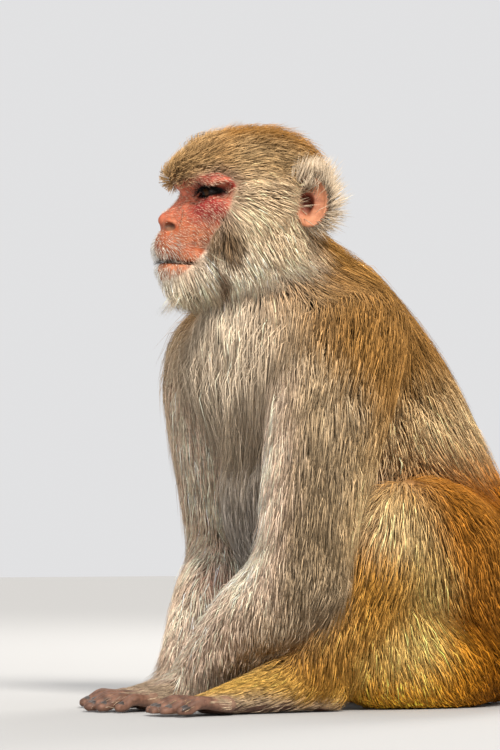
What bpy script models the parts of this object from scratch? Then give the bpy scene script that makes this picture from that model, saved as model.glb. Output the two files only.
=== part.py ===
"""Rhesus macaque sitting on its haunches, life size, as a still museum model.

The animal faces -Y with +Z up; its left side is +X.  Body lengths below are
in millimetres, from a point on the floor between the hips.  At the end all of
it moves to put the origin on the floor under the middle of the whole.

Every limb is a loft: a smooth line through named stations, each with the
flesh's two half-widths and the depth of the coat over it.  Lofts are fused
into one skin-tight body, which is then parted by thin cuts into the pieces
that a person would name.
"""
import bpy
import bmesh
import math
import numpy as np
from mathutils import Vector, Matrix

for o in list(bpy.data.objects):
    bpy.data.objects.remove(o, do_unlink=True)

MM = 0.001
CUT = 0.8             # gap left by each thin cut between neighbours
FLOOR_FLAT = 0.0      # level of every sole, palm, sitting pad and the tail
MIDDLE = (3.7, -47.8)  # middle of the whole, seen from above: moved to the origin at the end

# ------------------------------------------------------------------ sizes
HEAD_AT = (-2.0, -137.0, 388.0)   # middle of the head
HEAD_YAW = -15.0                  # degrees: turned to its right
EYE_R = 9.6
EYE_AT = (18.5, -31.0, 5.5)       # left eye, in the head's own frame
EAR_AT = (45.0, 38.0, -4.0)       # left ear, in the head's own frame
HAND_LEN, PALM_LEN, PALM_W = 91.0, 46.0, 36.0
FOOT_LEN, FOOT_W = 165.0, 42.0
FINGER_R, TOE_R = 4.7, 5.0

# stations: x, y, z, half-width sideways, half-width across, coat depth
TRUNK = [(0, 32, 46, 62, 42, 10), (0, 24, 78, 80, 62, 12), (0, 8, 125, 84, 69, 13),
         (0, -16, 172, 80, 70, 13), (0, -42, 216, 77, 71, 14), (0, -68, 256, 71, 67, 15),
         (0, -89, 294, 58, 56, 15)]
NECK = [(0, -92, 282, 52, 46, 14), (0, -112, 320, 45, 46, 15), (-2, -128, 352, 41, 44, 14),
        (-3, -135, 380, 39, 42, 12)]
UPPER_ARM = {+1: [(50, -74, 282, 32, 34, 13), (78, -106, 254, 36, 41, 13), (93, -126, 200, 31, 36, 12),
                  (104, -144, 148, 26, 30, 11), (109, -154, 106, 24, 26, 10)],
             -1: [(-54, -74, 286, 33, 36, 15), (-84, -104, 262, 37, 45, 15), (-90, -104, 204, 31, 38, 13),
                  (-97, -98, 150, 26, 29, 11), (-102, -92, 112, 24, 25, 10)]}
FOREARM = {+1: [(110, -153, 102, 24, 26, 10), (86, -168, 78, 24, 27, 11), (52, -182, 50, 19, 21, 10),
                (28, -191, 30, 16, 15, 7), (17, -198, 20, 15, 11, 3)],
           -1: [(-102, -92, 108, 24, 25, 10), (-84, -118, 84, 23, 25, 10), (-63, -144, 56, 18, 20, 9),
                (-51, -162, 32, 15, 15, 7), (-47, -172, 21, 14, 11, 3)]}
THIGH = {+1: [(42, 38, 62, 50, 54, 10), (68, 4, 96, 52, 54, 10), (94, -34, 124, 40, 44, 9),
              (106, -60, 146, 26, 29, 8)],
         -1: [(-42, 38, 62, 50, 54, 10), (-70, 8, 94, 52, 52, 10), (-98, -20, 122, 40, 42, 9),
              (-114, -40, 143, 27, 29, 8)]}
SHIN = {+1: [(106, -62, 144, 25, 27, 8), (103, -92, 106, 26, 31, 9), (97, -120, 66, 21, 25, 9),
             (91, -140, 34, 16, 18, 8)],
        -1: [(-114, -42, 142, 26, 28, 8), (-108, -48, 104, 27, 30, 9), (-98, -48, 64, 22, 24, 9),
             (-88, -44, 34, 17, 19, 8)]}
TAIL = [(0, 74, 52, 16, 16, 9), (6, 110, 32, 12, 12, 9), (26, 146, 22, 10, 10, 10),
        (62, 170, 18, 8.5, 8.5, 10), (106, 172, 17, 7.5, 7.5, 10), (142, 154, 15, 5.5, 5.5, 9)]
# rounded masses: centre, half-widths (x, y, z), coat depth
MASSES = [((0, -120, 272), (72, 36, 52), 15),          # breast
          ((0, -90, 165), (56, 50, 72), 13),           # belly, hanging forward
          ((40, 54, 50), (44, 40, 42), 8), ((-40, 54, 50), (44, 40, 42), 8),    # buttocks
          ((78, -30, 37), (38, 82, 36), 8), ((-76, 4, 40), (38, 60, 38), 8),    # hams, on the floor
          ((88, -76, 62), (26, 52, 46), 8), ((-94, -16, 60), (26, 46, 44), 8)]  # calf against thigh
FEET = {+1: ((90.0, -128.0, 0.0), 2.0), -1: ((-84.0, -26.0, 0.0), -2.0)}   # heel, yaw
HANDS = {+1: ((16.0, -195.0, 0.0), 3.0), -1: ((-48.0, -169.0, 0.0), 4.0)}  # wrist, yaw


# ------------------------------------------------------------- shape tools
def smooth_line(stations, per_span):
    """A Catmull-Rom line through the stations, carrying every value with it."""
    s = np.array(stations, float)
    s = np.vstack([2 * s[0] - s[1], s, 2 * s[-1] - s[-2]])
    out = []
    for i in range(1, len(s) - 2):
        for k in range(per_span):
            t = k / per_span
            out.append(0.5 * ((2 * s[i]) + (s[i + 1] - s[i - 1]) * t
                              + (2 * s[i - 1] - 5 * s[i] + 4 * s[i + 1] - s[i + 2]) * t * t
                              + (3 * s[i] - s[i - 1] - 3 * s[i + 1] + s[i + 2]) * t ** 3))
    out.append(s[-2])
    return np.array(out)


def loft(bm, stations, side=(1, 0, 0), ring=20, per_span=4, grow=0.0, coat=True):
    """Adds a closed tube with rounded ends: elliptical loops bridged along the smooth line."""
    line = smooth_line(stations, per_span)
    at, rad = line[:, :3], line[:, 3:5] + (line[:, 5:6] if coat and line.shape[1] > 5 else 0) + grow
    rows = []
    tangents = np.gradient(at, axis=0)
    tangents /= np.linalg.norm(tangents, axis=1)[:, None]
    def row(centre, t, ra, rb):
        u = np.array(side, float)
        u -= t * (u @ t)
        u /= np.linalg.norm(u)
        v = np.cross(t, u)
        a = np.arange(ring) * 2 * math.pi / ring
        return centre + np.outer(np.cos(a) * ra, u) + np.outer(np.sin(a) * rb, v)
    for end, sign in ((0, -1), (-1, 1)):
        r = rad[end].min() * 0.9
        caps = [row(at[end] + tangents[end] * sign * r * math.sin(q), tangents[end],
                    rad[end][0] * math.cos(q), rad[end][1] * math.cos(q))
                for q in (0.45, 0.9, 1.3)]
        if end == 0:
            rows = caps[::-1] + rows
        else:
            tail_caps = caps
    rows += [row(at[i], tangents[i], *rad[i]) for i in range(len(at))] + tail_caps
    loops = []
    for r in rows:
        vs = [bm.verts.new(Vector(p) * MM) for p in r]
        loops.append([bm.edges.new((vs[i], vs[(i + 1) % ring])) for i in range(ring)])
    for a, b in zip(loops, loops[1:]):
        bmesh.ops.bridge_loops(bm, edges=a + b)
    for loop in (loops[0], loops[-1]):
        bmesh.ops.contextual_create(bm, geom=loop)


def ball(bm, centre, radii, turn=(0, 0, 0), level=3, grow=0.0):
    """Adds an ellipsoid; turn is in degrees about x, y, z."""
    made = bmesh.ops.create_icosphere(bm, subdivisions=level, radius=1.0)["verts"]
    size = Matrix.Diagonal([(r + grow) * MM for r in radii] + [1])
    spin = (Matrix.Rotation(math.radians(turn[2]), 4, "Z") @ Matrix.Rotation(math.radians(turn[1]), 4, "Y")
            @ Matrix.Rotation(math.radians(turn[0]), 4, "X"))
    bmesh.ops.transform(bm, matrix=Matrix.Translation(Vector(centre) * MM) @ spin @ size, verts=made)


def to_object(bm, name):
    bmesh.ops.recalc_face_normals(bm, faces=bm.faces)
    me = bpy.data.meshes.new(name)
    bm.to_mesh(me)
    bm.free()
    o = bpy.data.objects.new(name, me)
    bpy.context.scene.collection.objects.link(o)
    return o


def settle(o):
    """Turns an object's modifiers into its own mesh."""
    graph = bpy.context.evaluated_depsgraph_get()
    me = bpy.data.meshes.new_from_object(o.evaluated_get(graph))
    old = o.data
    o.modifiers.clear()
    o.data = me
    bpy.data.meshes.remove(old)
    return o


def fuse(o, voxel, rounds, factor=0.5):
    """Joins overlapping lofts into one skin and softens the creases between them."""
    m = o.modifiers.new("fuse", "REMESH")
    m.mode, m.voxel_size = "VOXEL", voxel * MM
    s = o.modifiers.new("soften", "SMOOTH")
    s.factor, s.iterations = factor, rounds
    return settle(o)


def thin_out(o, triangles):
    o.data.calc_loop_triangles()
    m = o.modifiers.new("thin", "DECIMATE")
    m.ratio = min(1.0, triangles / len(o.data.loop_triangles))
    return settle(o)


def biggest(o):
    """Keeps the largest closed body of a mesh, without the crumbs a cut can leave."""
    bm = bmesh.new()
    bm.from_mesh(o.data)
    bmesh.ops.triangulate(bm, faces=bm.faces)
    seen, groups = set(), []
    for f in bm.faces:
        if f in seen:
            continue
        todo, group = [f], []
        seen.add(f)
        while todo:
            g = todo.pop()
            group.append(g)
            for e in g.edges:
                for h in e.link_faces:
                    if h not in seen:
                        seen.add(h)
                        todo.append(h)
        groups.append(group)
    groups.sort(key=lambda g: -sum(f.calc_area() for f in g))
    bmesh.ops.delete(bm, geom=[f for g in groups[1:] for f in g], context="FACES")
    bmesh.ops.dissolve_degenerate(bm, dist=2e-6, edges=bm.edges)
    bmesh.ops.triangulate(bm, faces=bm.faces)
    bm.to_mesh(o.data)
    bm.free()
    return o


def boolean(o, cutter, operation):
    m = o.modifiers.new(operation.lower(), "BOOLEAN")
    m.operation, m.object, m.solver = operation, cutter, "EXACT"
    return settle(o)


def copy_of(o, name):
    c = o.copy()
    c.data = o.data.copy()
    c.name = name
    bpy.context.scene.collection.objects.link(c)
    return c


def drop(*objects):
    for o in objects:
        bpy.data.objects.remove(o, do_unlink=True)


def grown(o, by, triangles=None):
    """A copy of a solid, thinned and swollen along its normals, to cut its neighbour with."""
    c = copy_of(o, "cutter")
    if triangles:
        thin_out(c, triangles)
    n = np.zeros(len(c.data.vertices) * 3)
    co = np.zeros_like(n)
    c.data.vertices.foreach_get("co", co)
    c.data.vertex_normals.foreach_get("vector", n)
    c.data.vertices.foreach_set("co", co + n * by * MM)
    c.data.update()
    return c


def slab(name, low, high):
    bm = bmesh.new()
    made = bmesh.ops.create_cube(bm, size=1.0)["verts"]
    size = [(h - l) * MM for l, h in zip(low, high)]
    mid = Vector([(h + l) / 2 for l, h in zip(low, high)]) * MM
    bmesh.ops.transform(bm, matrix=Matrix.Translation(mid) @ Matrix.Diagonal(size + [1]), verts=made)
    return to_object(bm, name)


def finish_floor(o):
    """Cuts a small flat where a piece meets the floor."""
    floor = slab("floor_cut", (-600, -600, -200), (600, 600, FLOOR_FLAT))
    boolean(o, floor, "DIFFERENCE")
    drop(floor)
    return biggest(o)


# --------------------------------------------------------------- materials
def material(name, colour, roughness):
    m = bpy.data.materials.new(name)
    m.use_nodes = True
    p = m.node_tree.nodes["Principled BSDF"]
    p.inputs["Base Color"].default_value = (*colour, 1)
    p.inputs["Roughness"].default_value = roughness
    p.inputs["Metallic"].default_value = 0.0
    return m


GOLD = material("golden_coat", (0.50, 0.31, 0.12), 0.8)
GREY = material("grey_brown_coat", (0.36, 0.28, 0.20), 0.8)
PALE = material("pale_coat", (0.55, 0.47, 0.37), 0.8)
FACE = material("bare_pink_skin", (0.66, 0.30, 0.24), 0.55)
DARK = material("hand_skin", (0.30, 0.16, 0.12), 0.6)
EYE = material("eye", (0.09, 0.04, 0.02), 0.15)


# -------------------------------------------------------------------- head
def head_solid():
    """Head in its own frame: face towards -y, middle at the origin."""
    bm = bmesh.new()
    ball(bm, (0, 7, 13), (44.5, 53, 44))                       # braincase with crown hair
    ball(bm, (0, -33, 21), (38, 31, 28))                       # forehead hair
    loft(bm, [(-33, -38, 15, 7, 7, 3), (-17, -53, 17, 8, 8, 3), (0, -57, 16, 8, 8, 3),
              (17, -53, 17, 8, 8, 3), (33, -38, 15, 7, 7, 3)], side=(0, 0, 1), ring=14)   # brow
    loft(bm, [(0, -14, -16, 36, 30), (0, -34, -21, 30, 27), (0, -52, -28, 24, 22),
              (0, -61, -33, 20, 17.5)])                        # upper muzzle
    loft(bm, [(0, -38, 5, 9, 9), (0, -49, -5, 8, 7), (0, -56, -11, 7.5, 6.5), (0, -62.5, -17, 7.5, 6.5)],
         ring=14)                                              # bridge and tip of the nose
    loft(bm, [(0, 0, -44, 36, 24, 8), (0, -30, -52, 28, 18, 6), (0, -50, -58, 19, 13, 6),
              (0, -58, -62, 15, 13, 5)])                       # lower jaw and chin beard
    for s in (-1, 1):
        loft(bm, [(s * 25, -39, -7, 9, 10), (s * 33, -24, -6, 11, 13), (s * 38, 0, -4, 12, 14)],
             side=(0, 0, 1), ring=14)                          # cheekbone
        ball(bm, (s * 28, 0, -22), (30, 42, 42), turn=(0, s * 8, s * 8))   # cheek ruff
        ball(bm, (s * 22, 10, -48), (32, 40, 30))              # ruff under the jaw
    o = fuse(to_object(bm, "head"), 2.2, 9)
    for s in (-1, 1):                                          # eye sockets
        bm = bmesh.new()
        ball(bm, (s * 21, -48.5, 4.8), (13.5, 14.5, 7.8), turn=(0, s * 6, s * 26))
        cut = to_object(bm, "socket")
        boolean(o, cut, "DIFFERENCE")
        drop(cut)
    return thin_out(o, 1200)


def ear_solid(s):
    """Ear in the head's frame, with the fan of hair that grows from its rim."""
    bm = bmesh.new()
    x, y, z = EAR_AT[0] * s, EAR_AT[1], EAR_AT[2]
    ball(bm, (x + s * 3, y, z), (5.0, 19, 22), turn=(0, 0, -28 * s))
    ball(bm, (x + s * 4, y + 8, z + 5), (7.5, 25, 31), turn=(0, 0, -28 * s))
    o = fuse(to_object(bm, "ear"), 2.2, 3)
    bm = bmesh.new()
    ball(bm, (x + s * 9, y - 8, z - 1), (8, 9, 14), turn=(0, 0, -20 * s))
    cut = to_object(bm, "bowl")
    boolean(o, cut, "DIFFERENCE")
    drop(cut)
    return thin_out(o, 220)


# ---------------------------------------------------------- hands and feet
def digit(bm, root, length, splay, r, arch, ring=10):
    """A finger or toe: knuckle, two joints and tip, laid along -y and splayed by some degrees."""
    c, s = math.cos(math.radians(splay)), math.sin(math.radians(splay))
    def at(t, z, ra, rb):
        return (root[0] + s * t * length, root[1] - c * t * length, z, ra, rb)
    loft(bm, [at(-0.15, root[2], r * 1.05, r * 1.1), at(0.22, root[2] + arch * 0.6, r, r),
              at(0.52, root[2] + arch, r * 1.02, r), at(0.80, r * 0.95, r * 0.9, r * 0.86),
              at(0.95, r * 0.74, r * 0.8, r * 0.72)], ring=ring, per_span=2)


def hand_solid(s):
    bm = bmesh.new()
    loft(bm, [(0, 6, 15, 13, 11, 2), (0, -12, 11.5, 15, 10.5, 1.5), (0, -30, 8.6, 16.5, 8, 1),
              (0, -PALM_LEN + 2, 7.2, 16.5, 7, 0)], ring=18)
    finger = HAND_LEN - PALM_LEN
    for k, (share, splay) in enumerate(((0.86, 8), (1.0, 3), (0.95, -3), (0.76, -10))):
        x = (k - 1.5) * -PALM_W * 0.25
        digit(bm, (-x * 1.0, -PALM_LEN + 1, 6.8), finger * share, -splay, FINGER_R, 2.4)
    loft(bm, [(-11, -10, 8, 6.5, 6.5), (-19, -22, 6.5, 5.2, 5.4), (-24, -33, 5.2, 4.6, 4.6),
              (-26, -41, 3.8, 3.9, 3.6)], ring=10, per_span=2)
    return place_limb_end(bm, s, *HANDS[s], "hand", 1.7, 480)


def foot_solid(s):
    bm = bmesh.new()
    ball(bm, (0, 2, 13), (15, 15, 14))
    loft(bm, [(0, 4, 18, 13, 17, 3), (0, -20, 20, 15, 19, 5), (0, -44, 15, 17, 15, 4),
              (0, -74, 10.5, 18.5, 11, 1.5), (2, -98, 7.6, 19.5, 7.8, 0)], ring=18)
    toe = FOOT_LEN - 16 - 98
    for k, (share, splay) in enumerate(((0.90, 4), (1.0, 0), (0.96, -4), (0.82, -9))):
        x = (k - 1.2) * FOOT_W * 0.225
        digit(bm, (x + 3, -97, 7.2), toe * share, -splay, TOE_R, 2.6)
    loft(bm, [(-9, -44, 10, 8, 8), (-19, -60, 8, 6.8, 7), (-25, -74, 6.4, 5.8, 6),
              (-28, -85, 4.8, 5.0, 4.6)], ring=10, per_span=2)
    return place_limb_end(bm, s, *FEET[s], "foot", 1.9, 480)


def place_limb_end(bm, s, at, yaw, name, voxel, triangles):
    """Mirrors the left hand or foot for the right side, turns it and sets it on the floor."""
    bmesh.ops.transform(bm, matrix=Matrix.Translation(Vector(at) * MM) @ Matrix.Rotation(math.radians(yaw), 4, "Z")
                        @ Matrix.Diagonal((s, 1, 1, 1)), verts=bm.verts)
    o = fuse(to_object(bm, f"{name}_{'left' if s > 0 else 'right'}"), voxel, 3, 0.4)
    return finish_floor(thin_out(o, triangles))


# -------------------------------------------------------------------- body
def body_solid():
    """Trunk, neck, limbs and tail fused into one."""
    bm = bmesh.new()
    loft(bm, TRUNK, ring=28)
    loft(bm, NECK, ring=24)
    for s in (1, -1):
        loft(bm, UPPER_ARM[s], side=(0, 1, 0))
        loft(bm, FOREARM[s])
        loft(bm, THIGH[s])
        loft(bm, SHIN[s])
    loft(bm, TAIL, side=(0, 0, 1), ring=14)
    for centre, radii, coat in MASSES:
        ball(bm, centre, radii, grow=coat)
    o = fuse(to_object(bm, "body"), 4.0, 9)
    return thin_out(o, 2500)


def limb_cutter(name, stations, side=(1, 0, 0), swell=7.0):
    bm = bmesh.new()
    loft(bm, stations, side=side, grow=swell, ring=10, per_span=1)
    return to_object(bm, name)


def part_off(body, cutter, name):
    """Parts one piece off the body along a cutter's surface, leaving the thin cut between them."""
    piece = copy_of(body, name)
    boolean(piece, cutter, "INTERSECT")
    wide = grown(cutter, CUT)
    boolean(body, wide, "DIFFERENCE")
    drop(wide, cutter)
    return biggest(piece)


def carve(body, *neighbours, by=0.9, triangles=300):
    for n in neighbours:
        wide = grown(n, by, triangles)
        boolean(body, wide, "DIFFERENCE")
        drop(wide)
    return biggest(body)


def main():
    side_name = {1: "left", -1: "right"}
    head_frame = bpy.data.objects.new("head_frame", None)
    bpy.context.scene.collection.objects.link(head_frame)
    head_frame.location = Vector(HEAD_AT) * MM
    head_frame.rotation_euler = (0, 0, math.radians(HEAD_YAW))
    bpy.context.view_layer.update()

    head = head_solid()
    ears, eyes = {}, {}
    for s in (1, -1):
        ears[s] = ear_solid(s)
        ears[s].name = "ear_" + side_name[s]
        bm = bmesh.new()
        ball(bm, (EYE_AT[0] * s, EYE_AT[1], EYE_AT[2]), (EYE_R,) * 3, level=2)
        eyes[s] = to_object(bm, "eye_" + side_name[s])
    carve(head, *eyes.values(), by=0.8, triangles=120)
    for s in (1, -1):
        carve(ears[s], head, by=0.4, triangles=None)
    for o in (head, *ears.values(), *eyes.values()):
        o.data.transform(head_frame.matrix_world)

    hands = {s: hand_solid(s) for s in (1, -1)}
    feet = {s: foot_solid(s) for s in (1, -1)}
    body = body_solid()
    carve(body, head, by=1.2, triangles=800)
    carve(body, *ears.values(), by=1.2, triangles=None)
    carve(body, *hands.values(), *feet.values(), by=1.1, triangles=420)

    pieces = {}
    for s in (1, -1):
        pads = bmesh.new()
        ball(pads, (24 * s, 44, 5), (15, 20, 9), level=2)
        pad = finish_floor(to_object(pads, "sitting_pad_" + side_name[s]))
        carve(body, pad)
        pieces[pad.name] = (pad, FACE)
    for s in (1, -1):
        for name, stations, axis in (("forearm", FOREARM[s], (1, 0, 0)), ("upper_arm", UPPER_ARM[s][1:], (0, 1, 0)),
                                     ("shin", SHIN[s], (1, 0, 0)), ("thigh", THIGH[s][1:], (1, 0, 0))):
            label = f"{name}_{side_name[s]}"
            piece = part_off(body, limb_cutter("cutter", stations, axis), label)
            pieces[label] = (piece, GREY if "arm" in name else GOLD)
    pieces["tail"] = (part_off(body, limb_cutter("cutter", TAIL, (0, 0, 1)), "tail"), GREY)
    pieces["neck"] = (part_off(body, limb_cutter("cutter", NECK[2:], (1, 0, 0), 30), "neck"), PALE)
    waist = slab("cutter", (-400, -400, 168), (400, 400, 600))
    pieces["thorax"] = (part_off(body, waist, "thorax"), GREY)
    body.name = "abdomen"
    pieces["abdomen"] = (biggest(body), GOLD)

    pieces["head"] = (head, PALE)
    for s in (1, -1):
        pieces["ear_" + side_name[s]] = (ears[s], PALE)
        pieces["eye_" + side_name[s]] = (eyes[s], EYE)
        pieces["hand_" + side_name[s]] = (hands[s], DARK)
        pieces["foot_" + side_name[s]] = (feet[s], DARK)
    for name, (o, mat) in pieces.items():
        if name.split("_")[0] in ("neck", "thorax", "abdomen", "tail", "upper", "forearm", "thigh", "shin"):
            finish_floor(thin_out(o, 0.6 * len(o.data.polygons)))      # the cuts leave slivers
        o.data.transform(Matrix.Translation(Vector((-MIDDLE[0], -MIDDLE[1], 0)) * MM))
        o.name = name
        o.data.name = name
        o.data.materials.clear()
        o.data.materials.append(mat)
        o.data.shade_smooth()


if __name__ == "__main__":
    main()
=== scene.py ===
"""Looks of the sitting rhesus macaque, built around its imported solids.

One skin (head, ears, trunk, limbs, hands, feet and tail in a single closed
mesh) is drawn from distance fields, and a coat of fine solid tufts is laid over
it along the lie of the hair.  Lengths are in millimetres in the animal's own
frame until the meshes are made; the animal faces -Y and its left side is +X.
"""
import bpy
import bmesh
import math
import time
import numpy as np
from mathutils import Vector, Matrix
from mathutils.bvhtree import BVHTree
from mathutils.kdtree import KDTree


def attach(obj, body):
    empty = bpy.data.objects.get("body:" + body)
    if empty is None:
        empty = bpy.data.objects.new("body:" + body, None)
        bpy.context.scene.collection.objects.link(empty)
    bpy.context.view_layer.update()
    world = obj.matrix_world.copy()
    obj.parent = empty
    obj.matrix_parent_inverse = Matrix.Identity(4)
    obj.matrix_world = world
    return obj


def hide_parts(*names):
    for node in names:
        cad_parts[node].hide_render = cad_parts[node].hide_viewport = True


T0 = time.perf_counter()
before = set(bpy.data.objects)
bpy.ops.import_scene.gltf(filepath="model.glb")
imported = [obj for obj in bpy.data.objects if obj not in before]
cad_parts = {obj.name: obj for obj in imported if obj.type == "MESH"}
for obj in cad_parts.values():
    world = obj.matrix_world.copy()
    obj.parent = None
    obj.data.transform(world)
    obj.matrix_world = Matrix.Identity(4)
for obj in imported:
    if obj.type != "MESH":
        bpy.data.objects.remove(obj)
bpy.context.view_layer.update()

MM = 0.001
MIDDLE = np.array([3.7, -47.8, 0.0])      # what the solids are moved by, so that the origin is under their middle
HEAD_AT = np.array([-2.0, -137.0, 388.0], np.float32)
HEAD_YAW = math.radians(-15.0)
EYE_R = 9.6
EYE_AT = np.array([18.5, -31.0, 5.5], np.float32)


def say(*words):
    print("[%5.1f s]" % (time.perf_counter() - T0), *words, flush=True)


def to_world(p):
    return (np.asarray(p) - MIDDLE) * MM


# ------------------------------------------------------------------ stations of the body
# x, y, z, half-width sideways, half-width across, depth of the coat
TRUNK = [(0, 32, 46, 62, 42, 10), (0, 24, 78, 80, 62, 12), (0, 8, 125, 84, 69, 13),
         (0, -16, 172, 80, 70, 13), (0, -42, 216, 77, 71, 14), (0, -68, 256, 71, 67, 15),
         (0, -89, 294, 58, 56, 15)]
NECK = [(0, -92, 282, 52, 46, 14), (0, -112, 320, 43, 44, 15), (-2, -126, 352, 36, 39, 14),
        (-3, -131, 380, 32, 34, 12)]
UPPER_ARM = {+1: [(50, -74, 282, 32, 34, 13), (78, -106, 254, 36, 41, 13), (93, -126, 200, 31, 36, 12),
                  (104, -144, 148, 26, 30, 11), (109, -154, 106, 24, 26, 10)],
             -1: [(-54, -74, 286, 33, 36, 15), (-84, -104, 262, 37, 45, 15), (-90, -104, 204, 31, 38, 13),
                  (-97, -98, 150, 26, 29, 11), (-102, -92, 112, 24, 25, 10)]}
FOREARM = {+1: [(110, -153, 102, 24, 26, 10), (86, -168, 78, 24, 27, 11), (52, -182, 50, 19, 21, 10),
                (28, -191, 30, 16, 15, 7), (17, -198, 18, 13, 9, 3)],
           -1: [(-102, -92, 108, 24, 25, 10), (-84, -118, 84, 23, 25, 10), (-63, -144, 56, 18, 20, 9),
                (-51, -162, 32, 15, 15, 7), (-47, -172, 19, 13, 9, 3)]}
THIGH = {+1: [(42, 38, 62, 50, 54, 10), (68, 4, 96, 52, 54, 10), (94, -34, 124, 40, 44, 9),
              (106, -60, 146, 26, 29, 8)],
         -1: [(-42, 38, 62, 50, 54, 10), (-70, 8, 94, 52, 52, 10), (-98, -20, 122, 40, 42, 9),
              (-114, -40, 143, 27, 29, 8)]}
SHIN = {+1: [(106, -62, 144, 25, 27, 8), (103, -92, 106, 26, 31, 9), (97, -120, 66, 21, 25, 9),
             (91, -138, 34, 15, 17, 8)],
        -1: [(-114, -42, 142, 26, 28, 8), (-108, -48, 104, 27, 30, 9), (-98, -48, 64, 22, 24, 9),
             (-87, -42, 34, 15, 17, 8)]}
TAIL = [(0, 74, 52, 16, 16, 9), (6, 110, 32, 12, 12, 9), (26, 146, 22, 10, 10, 10),
        (62, 170, 18, 8.5, 8.5, 10), (106, 172, 17, 7.5, 7.5, 10), (142, 154, 15, 5.5, 5.5, 9)]
MASSES = [("breast", (0, -120, 272), (72, 36, 52), 15), ("belly", (0, -90, 165), (56, 50, 72), 13),
          ("buttock", (40, 54, 50), (44, 40, 42), 8), ("buttock", (-40, 54, 50), (44, 40, 42), 8),
          ("ham", (78, -30, 37), (38, 82, 36), 8), ("ham", (-76, 4, 40), (38, 60, 38), 8),
          ("calf", (88, -76, 62), (26, 52, 46), 8), ("calf", (-94, -16, 60), (26, 46, 44), 8)]
HAND_LEN, PALM_LEN, PALM_W, FINGER_R = 91.0, 46.0, 36.0, 4.7
FOOT_LEN, FOOT_W, TOE_R = 165.0, 42.0, 5.0
FEET = {+1: ((90.0, -128.0, 0.0), 2.0), -1: ((-84.0, -26.0, 0.0), -2.0)}
HANDS = {+1: ((16.0, -195.0, 0.0), 3.0), -1: ((-48.0, -169.0, 0.0), 4.0)}


# ------------------------------------------------------------------ distance fields
def smooth_line(stations, per_span=4):
    s = np.array(stations, float)
    s = np.vstack([2 * s[0] - s[1], s, 2 * s[-1] - s[-2]])
    out = []
    for i in range(1, len(s) - 2):
        for k in range(per_span):
            t = k / per_span
            out.append(0.5 * ((2 * s[i]) + (s[i + 1] - s[i - 1]) * t
                              + (2 * s[i - 1] - 5 * s[i] + 4 * s[i + 1] - s[i + 2]) * t * t
                              + (3 * s[i] - s[i - 1] - 3 * s[i + 1] + s[i + 2]) * t ** 3))
    out.append(s[-2])
    return np.array(out)


def unit(v):
    return v / np.maximum(np.linalg.norm(v, axis=-1, keepdims=True), 1e-9)


def rotation(ax, ay, az):
    ax, ay, az = (math.radians(v) for v in (ax, ay, az))
    cx, sx, cy, sy, cz, sz = math.cos(ax), math.sin(ax), math.cos(ay), math.sin(ay), math.cos(az), math.sin(az)
    return (np.array([[cz, -sz, 0], [sz, cz, 0], [0, 0, 1]]) @ np.array([[cy, 0, sy], [0, 1, 0], [-sy, 0, cy]])
            @ np.array([[1, 0, 0], [0, cx, -sx], [0, sx, cx]])).astype(np.float32)


class Shape:
    """Something with a distance field and a box outside which it is too far to matter."""

    def near(self, p):
        return np.all((p > self.lo) & (p < self.hi), axis=1)


class Tube(Shape):
    """Elliptical tube along a smooth line; its field can also give its axis, coat depth and how far along it is."""

    def __init__(self, stations, side=(1, 0, 0), per_span=3, margin=9.0):
        line = smooth_line(stations, per_span)
        c, r = line[:, :3], line[:, 3:5]
        t = unit(np.gradient(c, axis=0))
        s = np.array(side, float)
        u = unit(s - t * (t @ s)[:, None])
        self.c, self.r, self.t, self.u = (a.astype(np.float32) for a in (c, r, t, u))
        self.v = np.cross(t, u).astype(np.float32)
        self.coat = (line[:, 5] if line.shape[1] > 5 else np.zeros(len(line))).astype(np.float32)
        m = r.max(1, keepdims=True) + margin
        self.lo, self.hi = (c - m).min(0).astype(np.float32), (c + m).max(0).astype(np.float32)

    def field(self, p, wanted=False):
        best = np.full(len(p), 1e6, np.float32)
        if wanted:
            axis, coat, share = np.zeros((len(p), 3), np.float32), np.zeros(len(p), np.float32), np.zeros(len(p), np.float32)
        n = len(self.c)
        for i in range(n - 1):
            a, ab = self.c[i], self.c[i + 1] - self.c[i]
            pa = p - a
            h = np.clip((pa @ ab) / (ab @ ab), 0, 1)
            d = pa - h[:, None] * ab
            ra = self.r[i, 0] + h * (self.r[i + 1, 0] - self.r[i, 0])
            rb = self.r[i, 1] + h * (self.r[i + 1, 1] - self.r[i, 1])
            low = np.minimum(ra, rb)
            u, v, t = (self.u[i] + self.u[i + 1]) / 2, (self.v[i] + self.v[i + 1]) / 2, (self.t[i] + self.t[i + 1]) / 2
            x, y, z = d @ u, d @ v, d @ t
            k2 = (x / ra) ** 2 + (y / rb) ** 2 + (z / (low * 0.9)) ** 2
            k = np.sqrt(k2) + 1e-6
            f = (np.sqrt((d * d).sum(1)) + 1e-6) * (1 - 1 / k)
            f = np.where(k < 1, (k - 1) * low, f)
            m = f < best
            best = np.where(m, f, best)
            if wanted:
                axis[m] = t
                coat[m] = (self.coat[i] + h * (self.coat[i + 1] - self.coat[i]))[m]
                share[m] = ((i + h) / (n - 1))[m]
        return (best, axis, coat, share) if wanted else best


class Ball(Shape):
    """Ellipsoid; turn is three angles in degrees about x, y, z."""

    def __init__(self, centre, radii, turn=None, coat=0.0, margin=9.0):
        self.centre, self.r = np.array(centre, np.float32), np.array(radii, np.float32)
        self.turn = None if turn is None else rotation(*turn)
        self.coat = coat
        m = (self.r.max() if turn is not None else self.r) + margin
        self.lo, self.hi = self.centre - m, self.centre + m

    def field(self, p, wanted=False):
        d = p - self.centre
        if self.turn is not None:
            d = d @ self.turn
        q = d / self.r
        k = np.sqrt((q * q).sum(1)) + 1e-6
        g = np.sqrt(((q / self.r) ** 2).sum(1)) + 1e-6
        f = k * (k - 1) / g
        if not wanted:
            return f
        return f, np.zeros((len(p), 3), np.float32), np.full(len(p), self.coat, np.float32), np.zeros(len(p), np.float32)


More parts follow.
